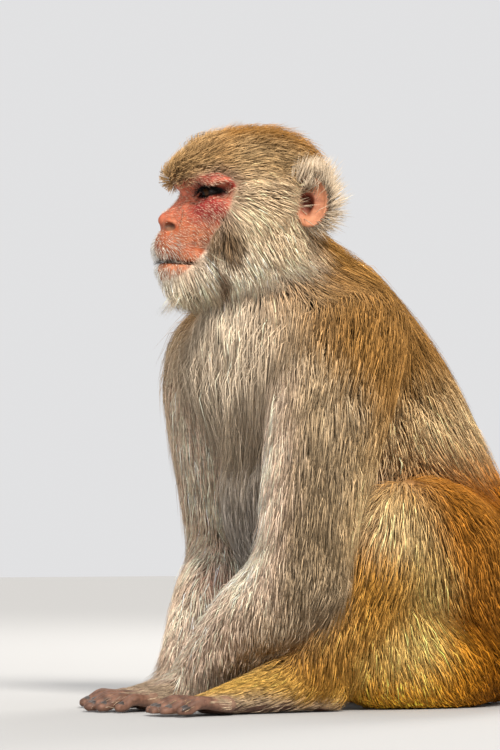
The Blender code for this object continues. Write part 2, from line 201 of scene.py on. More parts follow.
def smin(a, b, k):
    """The smaller of two fields, blended over k."""
    h = np.clip(0.5 + 0.5 * (b - a) / k, 0, 1)
    return b + h * (a - b) - k * h * (1 - h)


def smax(a, b, k):
    return -smin(-a, -b, k)


def step(a, b, x):
    t = np.clip((x - a) / (b - a), 0, 1)
    return t * t * (3 - 2 * t)


def add_to(f, p, shape, k):
    m = shape.near(p)
    if m.any():
        f[m] = smin(f[m], shape.field(p[m]), k)


def cut_from(f, p, shape, k):
    m = shape.near(p)
    if m.any():
        f[m] = smax(f[m], -shape.field(p[m]), k)


HEAD_TURN = rotation(0, 0, math.degrees(HEAD_YAW))


def into_head(p):
    """Points in the head's own frame: face to -y, its left to +x."""
    return ((p - HEAD_AT) @ HEAD_TURN).astype(np.float32)


def out_of_head(q):
    return q @ HEAD_TURN.T + HEAD_AT


# ------------------------------------------------------------------ the head
Z = (0, 0, 1)
EAR_TURN = rotation(4.0, 0.0, -30.0)                 # the shell leans out and back
EAR_AT = np.array([43.0, 39.0, -3.5], np.float32)
HOLLOW = Ball((3.5, -4, -1.5), (4.5, 5.5, 8), margin=4)
EAR_RIDGE = Tube([(4.2, 0, 9, 1.2, 1.2), (5.6, 4.0, 4, 1.5, 1.3), (6.0, 4.5, -3, 1.6, 1.4), (5.4, 1.0, -9.5, 1.8, 1.5)], margin=5)
EAR_FLAP = Ball((4.6, -9.0, -4.0), (2.6, 2.4, 4.2), margin=5)
EAR_LOBE = Ball((5.0, -1.0, -15.0), (2.6, 6.5, 4.2), margin=5)
EAR_ROOT = Ball((-1.5, -5, -1), (6.5, 8.5, 13), margin=6)


def ear_field(a):
    """Shell of the left ear in the head's frame: a thin dish with a rolled rim, a hollow and a lobe."""
    e = (a - EAR_AT) @ EAR_TURN                                # x out of the dish, y backwards, z up
    x, y, z = e.T
    oval = np.sqrt(((y - 1.0) / 14.0) ** 2 + ((z - 1.5) / 19.5) ** 2) + 1e-6
    rim = (oval - 1) * 15.5                                    # in the plane of the dish
    dish = 3.2 + 0.010 * ((y + 3) ** 2 + z * z)                # how far the shell stands out
    f = np.maximum(np.abs(x - dish) - 1.3, rim)
    f = smin(f, np.sqrt((rim + 1.0) ** 2 + (x - dish - 0.8) ** 2) - 2.1, 1.6)
    hollow = HOLLOW.field(e)
    f = smax(f, -hollow, 2.0)
    add_to(f, e, EAR_RIDGE, 2.0)
    add_to(f, e, EAR_FLAP, 2.4)
    add_to(f, e, EAR_LOBE, 2.6)
    return smin(f, smax(EAR_ROOT.field(e), -hollow, 2.0), 3.0)


HEAD_JOIN = [(Ball((0, -28, 17), (30, 26, 22), margin=14), 12),                        # forehead
             (Ball((24, 2, 8), (17, 34, 28), margin=12), 10),                          # temple
             (Tube([(-2, -53.0, 15.5, 6.5, 6.2), (17, -50, 17.5, 6.6, 6.4), (30, -39, 15, 6, 6), (36.5, -27, 8, 5, 5)], side=Z), 8),
             (Tube([(23, -40, -8, 7, 6), (32, -28, -7, 8, 8), (38, -8, -5, 7, 8), (39, 12, -4, 6, 8)], side=Z, margin=12), 11),
             (Tube([(0, -10, -16, 33, 30), (0, -32, -20, 27.5, 27), (0, -50, -28.5, 20.5, 18.8), (0, -59, -33.5, 17, 13.5)], per_span=8, margin=12), 8),
             (Tube([(0, -40, 9, 7, 8), (0, -49, -2, 6.2, 6.5), (0, -56, -9, 6, 6), (0, -62.5, -14.5, 6.8, 6)]), 5),
             (Ball((0, -66.6, -15.8), (4.4, 4.3, 4.1)), 4),                            # tip of the nose
             (Ball((8.0, -62.6, -18.8), (5.0, 5.8, 5.0)), 2.4),                          # its wings
             (Ball((0, -63.5, -37.5), (15, 9.2, 10)), 6),                               # upper lip
             (Tube([(0, -62, -40.5, 6, 6), (11, -59.5, -41.5, 6, 6), (18.6, -50, -44, 5.6, 5.6), (22, -38, -46, 5.4, 5.4)], side=Z), 5),
             (Tube([(27, 14, -34, 14, 13), (25, -6, -46, 13, 10), (17, -30, -54, 11, 9), (7, -50, -57, 11, 9.5), (0, -54, -57, 12, 10)],
                   margin=11), 9),                                                     # jaw
             (Ball((0, -56, -59), (14, 12, 11)), 6),                                   # chin
             (Tube([(0, -66.0, -53.3, 5, 5), (10, -62, -54, 4.8, 5), (18, -51, -54.5, 4.5, 5)], side=Z), 4),   # lower lip
             (Ball((26, -2, -28), (17, 30, 26), (0, 0, 8), margin=12), 12),            # cheek
             (Ball((0, 12, -40), (30, 34, 24), margin=13), 12)]                        # throat
ORBIT = Ball((20.5, -50.5, 5.0), (13.0, 15.0, 7.6), (0, 6, 26))
BESIDE_EYE = Ball((38, -29.5, 5.0), (13, 8.0, 6.0), (0, 0, -14), margin=8)
EYE_FOLDS = [(Tube([(9.5, -46, 12.5, 1.0, 1.0), (18, -44.5, 14.0, 1.2, 1.2), (29, -35, 12.0, 1.0, 1.0)], side=Z, margin=5), 2.4),
             (Tube([(9, -46, -1.6, 1.1, 1.1), (18, -43.0, -4.9, 1.2, 1.2), (29, -33.0, -3.8, 1.1, 1.1)], side=Z, margin=5), 2.4),
             (Tube([(9.5, -49.0, -5.5, 0.9, 0.9), (18, -44.0, -9.3, 1.0, 1.0), (29, -33.5, -8.0, 0.9, 0.9)], side=Z, margin=5), 2.2)]
FACE_CUTS = [(Ball((12.4, -65.8, -21.5), (5.8, 4.8, 3.1), (0, 16, 0), margin=4), 0.8),                 # nostril
             (Tube([(11.0, -64.5, -26.0, 0.7, 0.7), (14.6, -59.6, -22.0, 1.3, 1.3), (13.2, -56.8, -15.5, 1.2, 1.2), (9.6, -54, -9, 0.6, 0.6)], side=(1, 0, 0), margin=5), 2.6),
             (Tube([(0, -73, -25, 0.8, 0.8), (0, -72.5, -33, 0.9, 0.9), (0, -73, -42, 0.8, 0.8)], margin=5), 2.4),
             (Tube([(0, -72, -47.4, 1.2, 8), (10, -68, -47.9, 1.2, 8), (18, -57, -49.2, 1.2, 7), (22.5, -46, -50.4, 1.0, 4)],
                   side=Z, margin=4), 1.8),                                            # mouth
             (Tube([(33.5, -27, -18, 1.0, 1.2), (33, -26, -27, 1.6, 1.8), (30, -30, -38, 1.4, 1.4), (27, -35, -47, 1.0, 1.0)], margin=7), 6)]
BRAINCASE = Ball((0, 8, 11), (36, 46, 35))
LOOK = rotation(0, 0, 26)


def lid_edges(turn):
    """Heights of the upper and lower lid's edge, by the angle round the eyeball."""
    return 2.7 - 2.3 * ((turn - 0.15) / 1.1) ** 2, -3.5 + 2.9 * ((turn - 0.1) / 1.1) ** 2


def lid_gap(e):
    """Below 0 inside the opening between the lids; e is seen from the middle of the eyeball, lids facing -y."""
    turn = np.arctan2(e[:, 0], -e[:, 1])
    upper, lower = lid_edges(turn)
    gap = np.maximum(np.maximum(e[:, 2] - upper, lower - e[:, 2]), np.maximum(turn - 1.22, -0.98 - turn) * 10)
    return np.where(np.abs(turn) < 1.6, gap, 9.0).astype(np.float32)


def head_field(q):
    """Skin of the head in its own frame.  Both sides are alike, so |x| stands for x."""
    a = q.copy()
    a[:, 0] = np.abs(a[:, 0])
    f = BRAINCASE.field(a)
    for shape, k in HEAD_JOIN:
        add_to(f, a, shape, k)
    cut_from(f, a, ORBIT, 6)
    cut_from(f, a, BESIDE_EYE, 5)
    e = a - EYE_AT
    er = np.sqrt((e * e).sum(1))
    m = er < EYE_R + 15
    if m.any():
        em, rm = e[m] @ LOOK, er[m]
        g = smin(f[m], rm - (EYE_R + 1.9), 4.0)                                          # lids
        slit = lid_gap(em)
        g = smax(g, -np.maximum(slit * 0.9, rm - (EYE_R + 7)), 1.2)                      # opening between the lids
        f[m] = np.maximum(g, EYE_R - 0.3 - rm)                                           # room for the eyeball
    for shape, k in EYE_FOLDS + FACE_CUTS:
        cut_from(f, a, shape, k)
    m = (a[:, 0] > 28) & (a[:, 1] > 12)
    if m.any():
        f[m] = smin(f[m], ear_field(a[m]), 3)
    return f


# ------------------------------------------------------------------ hands and feet, in the left one's own frame
def digit(root, length, splay, r, arch):
    c, s = math.cos(math.radians(splay)), math.sin(math.radians(splay))
    def at(t, z, ra, rb):
        return (root[0] + s * t * length, root[1] - c * t * length, z, ra, rb)
    return Tube([at(-0.15, root[2], r * 1.05, r * 1.1), at(0.22, root[2] + arch * 0.6, r * 0.96, r),
                 at(0.36, root[2] + arch * 0.9, r * 0.94, r * 0.95), at(0.52, root[2] + arch, r * 1.06, r),
                 at(0.66, root[2] + arch * 0.35, r * 0.9, r * 0.9), at(0.80, r * 0.95, r * 0.9, r * 0.86),
                 at(0.95, r * 0.74, r * 0.8, r * 0.72)], per_span=2, margin=5)


def digits_of(kind):
    """Root, length, splay, thickness and arch of the four long digits, and the thumb or big toe as stations."""
    if kind == "hand":
        rows = [((1.0 * (k - 1.5) * PALM_W * 0.25, -PALM_LEN + 1, 6.8), (HAND_LEN - PALM_LEN) * share, -splay, FINGER_R, 2.4)
                for k, (share, splay) in enumerate(((0.86, 8), (1.0, 3), (0.95, -3), (0.76, -10)))]
        thumb = [(-11, -10, 8, 6.5, 6.5), (-19, -22, 6.5, 5.2, 5.4), (-24, -33, 5.2, 4.6, 4.6), (-26, -41, 3.8, 3.9, 3.6)]
    else:
        rows = [(((k - 1.2) * FOOT_W * 0.225 + 3, -97, 7.2), (FOOT_LEN - 114) * share, -splay, TOE_R, 2.6)
                for k, (share, splay) in enumerate(((0.90, 4), (1.0, 0), (0.96, -4), (0.82, -9)))]
        thumb = [(-9, -44, 10, 8, 8), (-19, -60, 8, 6.8, 7), (-25, -74, 6.4, 5.8, 6), (-28, -85, 4.8, 5.0, 4.6)]
    return rows, thumb


ENDS = {}
for kind in ("hand", "foot"):
    rows, thumb = digits_of(kind)
    shapes = [(Tube(thumb, per_span=2, margin=6), 3.0)] + [(digit(*row), 1.6) for row in rows]
    if kind == "hand":
        palm = Tube([(0, 6, 15, 13, 11, 2), (0, -12, 11.5, 15, 10.5, 1.5), (0, -30, 8.6, 16.5, 8, 1),
                     (0, -PALM_LEN + 2, 7.2, 16.5, 7, 0)], margin=20)
    else:
        palm = Tube([(0, 4, 18, 13, 17, 3), (0, -20, 20, 15, 19, 5), (0, -44, 15, 17, 15, 4),
                     (0, -74, 10.5, 18.5, 11, 1.5), (2, -98, 7.6, 19.5, 7.8, 0)], margin=20)
        shapes.insert(0, (Ball((0, 2, 13), (15, 15, 14), margin=14), 6.0))
    knuckles = [(Ball((row[0][0], row[0][1] + 1, row[0][2] + 4.5), (3.4, 5.5, 2.6), margin=4), 2.5) for row in rows]
    ENDS[kind] = (palm, shapes + knuckles, rows, thumb)


class LimbEnd(Shape):
    """A hand or foot set on the floor; the right ones are the left one mirrored."""

    def __init__(self, kind, s, at, yaw):
        self.kind, self.s, self.at = kind, s, np.array(at, np.float32)
        self.turn = rotation(0, 0, yaw)
        self.palm, self.shapes, self.rows, self.thumb = ENDS[kind]
        reach = (HAND_LEN if kind == "hand" else FOOT_LEN) + 12
        self.lo = self.at + np.array([-48, -reach, -30], np.float32)
        self.hi = self.at + np.array([48, 34, 56], np.float32)
        self.name = kind + ("_left" if s > 0 else "_right")

    def inner(self, p):
        return ((p - self.at) @ self.turn * np.array([self.s, 1, 1], np.float32)).astype(np.float32)

    def outer(self, q):
        return (q * np.array([self.s, 1, 1])) @ self.turn.T + self.at

    def field(self, p, wanted=False):
        q = self.inner(p)
        got = self.palm.field(q, wanted)
        f = got[0] if wanted else got
        for shape, k in self.shapes:
            add_to(f, q, shape, k)
        if not wanted:
            return f
        axis = np.tile(np.array([0, -1, 0], np.float32), (len(p), 1)) @ self.turn.T
        return f, axis, got[2], got[3]


# ------------------------------------------------------------------ the whole body
def sign(x):
    return np.tanh(x / 12.0)


def flow_trunk(q, axis, share, n):
    out = -axis + np.stack([0 * share, 0.10 + 0 * share, -0.55 + 0 * share], 1)
    front = step(0.1, -0.5, n[:, 1])[:, None] * step(120, 220, q[:, 2])[:, None]
    fan = np.stack([-0.35 * sign(q[:, 0]), -0.1 + 0 * share, -1 + 0 * share], 1)
    return out * (1 - front) + fan * front


def flow_neck(q, axis, share, n):
    return -axis + np.stack([0.15 * sign(q[:, 0]), 0.1 + 0 * share, -0.2 + 0 * share], 1)


def flow_along(down, back=0.0, along=1.0, side=0.0):
    def flow(q, axis, share, n):
        return along * axis + np.stack([side * sign(q[:, 0]), back + 0 * share, -down + 0 * share], 1)
    return flow


class Part:
    def __init__(self, name, shape, flow, blend=10.0, length=30.0):
        self.name, self.shape, self.flow, self.blend, self.length = name, shape, flow, blend, length


PARTS = [Part("trunk", Tube(TRUNK, margin=30), flow_trunk, 10, 33),
         Part("neck", Tube(NECK, margin=24), flow_neck, 10, 32)]
for s, side in ((1, "left"), (-1, "right")):
    PARTS += [Part("upper_arm_" + side, Tube(UPPER_ARM[s], side=(0, 1, 0), margin=26), flow_along(0.35, 0.1), 12, 32),
              Part("forearm_" + side, Tube(FOREARM[s], margin=20), flow_along(1.0, 0.15, 0.25), 10, 25),
              Part("thigh_" + side, Tube(THIGH[s], margin=24), flow_along(0.9, 0.55, 0.15), 10, 27),
              Part("shin_" + side, Tube(SHIN[s], margin=20), flow_along(0.5, 0.15, 0.8), 10, 22),
              Part("hand_" + side, LimbEnd("hand", s, *HANDS[s]), flow_along(0.1), 6, 15),
              Part("foot_" + side, LimbEnd("foot", s, *FEET[s]), flow_along(0.15), 6, 18)]
PARTS.append(Part("tail", Tube(TAIL, side=Z, margin=18), flow_along(0.0), 8, 24))
for name, c, r, coat in MASSES:
    flow = {"breast": flow_along(1.0, -0.05, 0, -0.35), "belly": flow_along(1.0, 0), "buttock": flow_along(1.0, 0.35),
            "ham": flow_along(0.8, 0.6), "calf": flow_along(1.0, 0.25)}[name]
    PARTS.append(Part(name, Ball(c, r, coat=coat, margin=30), flow, {"breast": 22, "belly": 18}.get(name, 10), {"breast": 42, "belly": 36}.get(name, 26)))
HEAD_BOX = (np.array([-66, -80, -80], np.float32), np.array([66, 74, 60], np.float32))


def in_head_box(q, margin=0.0):
    return np.all((q > HEAD_BOX[0] - margin) & (q < HEAD_BOX[1] + margin), axis=1)


def skin_field(p):
    """Distance to the skin of the whole animal, head, hands and feet included."""
    p = np.asarray(p, np.float32)
    f = np.full(len(p), 28.0, np.float32)
    for part in PARTS:
        add_to(f, p, part.shape, part.blend)
    q = into_head(p)
    m = in_head_box(q)
    if m.any():
        f[m] = smin(f[m], head_field(q[m]), 8)
    return smax(f, 0.25 - p[:, 2], 1.2)


# ------------------------------------------------------------------ from field to mesh
def sample_grid(field, lo, hi, h, levels=3):
    """The field on a grid of spacing h, worked out exactly only near the surface."""
    coarse = 2 ** (levels - 1)
    n = np.ceil((np.array(hi) - lo) / (h * coarse)).astype(int) + 1
    axes = [lo[i] + np.arange(n[i]) * h * coarse for i in range(3)]
    F = field(np.stack(np.meshgrid(*axes, indexing="ij"), -1).reshape(-1, 3)).reshape(n).astype(np.float32)
    while coarse > 1:
        coarse //= 2
        for ax in range(3):                                    # halfway values between the coarser ones
            a = np.moveaxis(F, ax, 0)
            b = np.empty((2 * len(a) - 1,) + a.shape[1:], np.float32)
            b[::2] = a
            b[1::2] = (a[:-1] + a[1:]) / 2
            F = np.moveaxis(b, 0, ax)
        F = np.ascontiguousarray(F)
        near = np.abs(F) < h * coarse * 1.9
        ijk = np.argwhere(near)
        out = np.empty(len(ijk), np.float32)
        for s in range(0, len(ijk), 300000):
            out[s:s + 300000] = field((ijk[s:s + 300000] * (h * coarse) + lo).astype(np.float32))
        F[near] = out
    return F


def untangle(F):
    """Fills single grid points where the inside would touch itself only along an edge or at a corner."""
    for _ in range(20):
        changed = 0
        for b, c in ((0, 1), (0, 2), (1, 2)):
            inside = F < 0
            lo_b, hi_b, lo_c, hi_c = slice(None, -1), slice(1, None), slice(None, -1), slice(1, None)

            def part(sb, sc):
                sl = [slice(None)] * 3
                sl[b], sl[c] = sb, sc
                return inside[tuple(sl)]
            a, d, e, g = part(lo_b, lo_c), part(hi_b, hi_c), part(hi_b, lo_c), part(lo_b, hi_c)
            for at in np.argwhere((a == d) & (e == g) & (a != e)):
                corners = [at.copy() for _ in range(4)]
                corners[1][b] += 1
                corners[1][c] += 1
                corners[2][b] += 1
                corners[3][c] += 1
                out = [k for k in corners if F[tuple(k)] >= 0]
                if len(out) == 2:
                    pick = min(out, key=lambda k: F[tuple(k)])
                    F[tuple(pick)] = -0.02
                    changed += 1
        inside = F < 0
        o = [slice(None, -1), slice(1, None)]
        for i, j, k in ((0, 0, 0), (0, 0, 1), (0, 1, 0), (1, 0, 0)):
            n = [[inside[o[x], o[y], o[z]] for z in (0, 1)] for x in (0, 1) for y in (0, 1)]
            count = sum(v.astype(np.int8) for row in n for v in row)
            p, q = inside[o[i], o[j], o[k]], inside[o[1 - i], o[1 - j], o[1 - k]]
            for at in np.argwhere(p & q & (count == 2)):
                F[at[0] + i, at[1] + j, at[2] + 1 - k] = -0.02
                changed += 1
            for at in np.argwhere(~p & ~q & (count == 6)):
                F[at[0] + i, at[1] + j, at[2] + k] = -0.02
                changed += 1
        if not changed:
            break
    return F


def surface(F, lo, h):
    """Closed quad mesh of the zero level (surface nets)."""
    inside = F < 0
    s = np.zeros(tuple(d - 1 for d in F.shape), np.int8)
    nx, ny, nz = s.shape
    for i in (0, 1):
        for j in (0, 1):
            for k in (0, 1):
                s += inside[i:i + nx, j:j + ny, k:k + nz]
    active = (s > 0) & (s < 8)
    cells = np.argwhere(active)
    index = np.full(s.shape, -1, np.int64)
    index[active] = np.arange(len(cells))
    total, count = np.zeros((len(cells), 3)), np.zeros(len(cells))
    for ax in range(3):
        others = [b for b in range(3) if b != ax]
        for u in (0, 1):
            for w in (0, 1):
                c0 = np.zeros(3, int)
                c0[others[0]], c0[others[1]] = u, w
                c1 = c0.copy()
                c1[ax] = 1
                f0 = F[tuple((cells + c0).T)]
                f1 = F[tuple((cells + c1).T)]
                m = (f0 < 0) != (f1 < 0)
                t = np.where(m, f0 / np.where(m, f0 - f1, 1), 0)
                total[m] += (c0 + (c1 - c0) * t[:, None])[m]
                count[m] += 1
    verts = (cells + total / count[:, None]) * h + lo
    faces = []
    for ax in range(3):
        a = np.moveaxis(inside, ax, 0)
        ch = np.moveaxis(a[:-1] != a[1:], 0, ax)
        b, c = [o for o in range(3) if o != ax]
        sl = [slice(None)] * 3
        sl[b] = sl[c] = slice(1, -1)
        e = np.argwhere(ch[tuple(sl)])
        e[:, b] += 1
        e[:, c] += 1

        def cell(db, dc):
            k = e.copy()
            k[:, b] += db
            k[:, c] += dc
            return index[tuple(k.T)]
        q = np.stack([cell(-1, -1), cell(0, -1), cell(0, 0), cell(-1, 0)], 1)
        flip = inside[tuple(e.T)]
        if ax == 1:
            flip = ~flip
        q[~flip] = q[~flip][:, ::-1]
        faces.append(q)
    return verts, np.vstack(faces)


def slopes(field, p, d=0.4):
    g = np.empty((len(p), 3), np.float32)
    for i in range(3):
        o = np.zeros(3, np.float32)
        o[i] = d
        g[:, i] = (field(p + o) - field(p - o)) / (2 * d)
    return g


def make_mesh(name, verts, faces):
    """Mesh from arrays in metres, faces all of one size."""
    faces = np.asarray(faces)
    me = bpy.data.meshes.new(name)
    me.vertices.add(len(verts))
    me.vertices.foreach_set("co", np.asarray(verts, np.float32).ravel())
    k = faces.shape[1]
    me.loops.add(faces.size)
    me.loops.foreach_set("vertex_index", faces.astype(np.int32).ravel())
    me.polygons.add(len(faces))
    me.polygons.foreach_set("loop_start", (np.arange(len(faces)) * k).astype(np.int32))
    me.update(calc_edges=True)
    return me


def new_object(name, me):
    o = bpy.data.objects.new(name, me)
    bpy.context.scene.collection.objects.link(o)
    return o


def array_of(items, field, width):
    a = np.empty(len(items) * width, np.float32)
    items.foreach_get(field, a)
    return a.reshape(-1, width)


# Each patch of the skin is meshed on its own grid.  Where two of them meet, each dips slightly under the other.
OVER = 5.0
CUT_AT = {("hand", 1): ((12, 4, 30), (-0.74, -0.28, -0.62)), ("hand", -1): ((3, 7, 32), (-0.37, -0.56, -0.74)),
          ("foot", 1): ((0, -4, 38), (-0.1, -0.45, -0.89)), ("foot", -1): ((0, -4, 38), (-0.3, -0.1, -0.95))}


def plane(p, at, n):
    return ((p - np.array(at, np.float32)) @ unit(np.array(n, np.float32))).astype(np.float32)


def head_region(p):
    return plane(p, (-2.0, -122.0, 331.0), (-0.04, -0.30, 0.95))


def end_region(end):
    at, n = CUT_AT[(end.kind, end.s)]
    wide = 32.0 if end.kind == "hand" else 35.0

    def region(p):
        q = end.inner(p)
        w = np.minimum(np.minimum(24 - q[:, 1], wide - np.abs(q[:, 0])), plane(q, at, n))
        return np.minimum(w, plane(q, (0, -20, 45), (0, 0.27, -0.96))) if end.kind == "foot" else w
    return region


ENDED = [part.shape for part in PARTS if isinstance(part.shape, LimbEnd)]
REGIONS = [head_region] + [end_region(e) for e in sorted(ENDED, key=lambda e: e.kind == "foot")]
ENDED.sort(key=lambda e: e.kind == "foot")


def patch(number):
    """Field of one patch: number 0 is the head, then hands and feet, and the last is everything else."""
    def field(p):
        p = np.asarray(p, np.float32)
        w = None
        for region in REGIONS[:number]:
            other = -region(p)
            w = other if w is None else np.minimum(w, other)
        if number < len(REGIONS):
            own = REGIONS[number](p)
            w = own if w is None else np.minimum(w, own)
        f = skin_field(p) + 0.3 * np.maximum(0, 1.5 - w)
        return np.maximum(f, -w - OVER)
    return field


def mesh_patch(name, number, lo, hi, h, outward=None, mirrored=False, polish=0):
    """outward takes the grid's own frame to the animal's."""
    here = patch(number)
    field = here if outward is None else (lambda q: here(outward(q)))
    for shift in (0.0, 0.31, 0.57, 0.83, 1.13):              # a grid whose mesh is closed everywhere
        start = np.array(lo, float) - shift * h
        v, f = surface(untangle(sample_grid(field, start, np.array(hi, float), h)), start, h)
        rims = np.sort(np.concatenate([f[:, [0, 1]], f[:, [1, 2]], f[:, [2, 3]], f[:, [3, 0]]]), axis=1)
        odd = int((np.unique(rims[:, 0] * (len(v) + 1) + rims[:, 1], return_counts=True)[1] != 2).sum())
        if odd == 0:
            break
    for _ in range(polish):
        q = v.astype(np.float32)
        d = field(q)
        g = slopes(field, q)
        move = -d[:, None] * g / np.maximum((g * g).sum(1, keepdims=True), 0.3)
        size = np.linalg.norm(move, axis=1, keepdims=True)
        v = v + move * np.minimum(1, 0.6 * h / np.maximum(size, 1e-6))
    if outward is not None:
        v = outward(v)
    if mirrored:
        f = f[:, ::-1]
    o = new_object(name, make_mesh(name, to_world(v), f))
    say(name, len(v), "points, odd edges", odd)
    return o


def build_skin():
    parts = [mesh_patch("skin", 5, (-165, -300, -6), (165, 245, 352), 4.0),
             mesh_patch("head_patch", 0, (-68, -84, -98), (68, 90, 62), 1.5, out_of_head)]
    for k, end in enumerate(ENDED):
        reach = HAND_LEN if end.kind == "hand" else FOOT_LEN
        h = 1.65 if end.kind == "hand" else 2.0
        parts.append(mesh_patch(end.name + "_patch", k + 1, (-44, -reach - 14, -6), (44, 32, 54), h,
                                end.outer, end.s < 0))
    o = parts[0]
    for other in parts[1:]:
        m = o.modifiers.new("join", "BOOLEAN")
        m.operation, m.object, m.solver = "UNION", other, "MANIFOLD"
    dg = bpy.context.evaluated_depsgraph_get()
    me = bpy.data.meshes.new_from_object(o.evaluated_get(dg))
    o.modifiers.clear()
    old = o.data
    o.data = me
    bpy.data.meshes.remove(old)
    me.name = "skin"
    for other in parts[1:]:
        bpy.data.meshes.remove(other.data)
    bm = bmesh.new()
    bm.from_mesh(me)
    say("joined, odd edges", sum(1 for e in bm.edges if not e.is_manifold))
    seen, best = set(), []
    bm.verts.ensure_lookup_table()
    for v in bm.verts:                                       # keep the largest island only
        if v.index in seen:
            continue
        stack, isle = [v], []
        seen.add(v.index)
        while stack:
            a = stack.pop()
            isle.append(a)
            for e in a.link_edges:
                b = e.other_vert(a)
                if b.index not in seen:
                    seen.add(b.index)
                    stack.append(b)
        say("island", len(isle), [round(c, 3) for c in bm.verts[isle[0].index].co])
        if len(isle) > len(best):
            best = isle
    keep = set(v.index for v in best)
    bmesh.ops.delete(bm, geom=[v for v in bm.verts if v.index not in keep], context="VERTS")
    bad = [e for e in bm.edges if not e.is_manifold]
    bmesh.ops.triangulate(bm, faces=[f for f in bm.faces if len(f.verts) > 4])
    bm.to_mesh(me)
    bm.free()
    me.shade_smooth()
    say("skin", len(me.vertices), "points", sum(len(p.vertices) - 2 for p in me.polygons), "triangles, open edges", len(bad))
    return o


# ------------------------------------------------------------------ markings and the lie of the coat
TONE = {                                                     # linear colours of the animal's regions
    "crown": (.42, .20, .050), "forehead": (.52, .31, .13), "temple": (.74, .53, .32), "cheek": (.78, .60, .39),
    "jowl": (1.0, .82, .61), "beard": (.88, .72, .52), "nape": (.42, .21, .050), "shoulder_top": (.38, .19, .050),
    "back": (.76, .53, .27), "back_low": (.55, .18, .010), "rump": (.37, .092, .004), "flank": (.70, .48, .24),
    "shoulder": (.54, .385, .22), "upper_arm": (.33, .23, .13), "forearm": (.46, .34, .22), "chest": (.62, .49, .35),
    "belly": (.44, .38, .32), "inner": (.95, .70, .53), "thigh": (1.0, .76, .30), "thigh_low": (.92, .43, .038),
    "thigh_edge": (.41, .145, .008), "knee": (.72, .46, .25), "shin": (.58, .27, .04), "foot": (.66, .39, .09),
    "hand": (.40, .29, .195), "tail": (.32, .14, .035), "ear_hair": (.56, .44, .31)}
BARE = {"face": (.50, .140, .076), "red": (.29, .030, .024), "muzzle": (.34, .078, .027), "nose": (.42, .11, .055),
        "lip": (.46, .17, .085), "ear": (.50, .21, .11), "ear_hollow_shade": (.10, .018, .008), "lid": (.40, .075, .05),
        "rim": (.012, .006, .005), "mouth": (.05, .018, .014), "hand": (.135, .068, .044), "under": (.30, .215, .165),
        "pad": (.42, .20, .15)}


def col(name, table=TONE):
    return np.array(table[name], np.float32)


def mix(a, b, t):
    return a + (b - a) * np.clip(t, 0, 1)[:, None]


def blob(p, centre, radii):
    """1 in the middle of an ellipsoid, falling to 0 at its edge."""
    d = (p - np.array(centre, np.float32)) / np.array(radii, np.float32)
    return step(1.0, 0.35, np.sqrt((d * d).sum(1)))


def spot(p, centre, radii):
    """As blob, with a sharper edge."""
    d = (p - np.array(centre, np.float32)) / np.array(radii, np.float32)
    return step(1.15, 0.8, np.sqrt((d * d).sum(1)))


def waves(p, size, seed):
    """Smooth noise between about -1 and 1 with features of the given size."""
    rng = np.random.default_rng(seed)
    out = np.zeros(len(p), np.float32)
    for _ in range(6):
        k = unit(rng.normal(size=3)) * rng.uniform(0.7, 1.5) * 2 * math.pi / size
        out += np.sin(p @ k.astype(np.float32) + rng.uniform(0, 6.28))
    return out / 2.6


def mask_edge(a):
    """Above 0 on the bare face, in the head's own frame with |x|; its edge runs round brow, cheek and lips."""
    x, y, z = a.T
    front = -y
    rear = np.interp(z, [-68, -62, -52, -40, -26, -12, 0, 9, 15, 22], [64, 61, 50, 39, 32, 26, 22, 18, 22, 36])
    top = np.interp(front, [10, 20, 34, 46, 60], [11, 16, 20, 17, 13]) - 1.5 * step(16, 4, x)
    low = np.interp(front, [40, 55, 66, 76], [-52, -58, -63, -63])
    return np.minimum(np.minimum(front - rear, top - z), z - low)


class Site:
    """What the skin is like at each of its points: which part it belongs to, coat, colours and lie of the hair."""


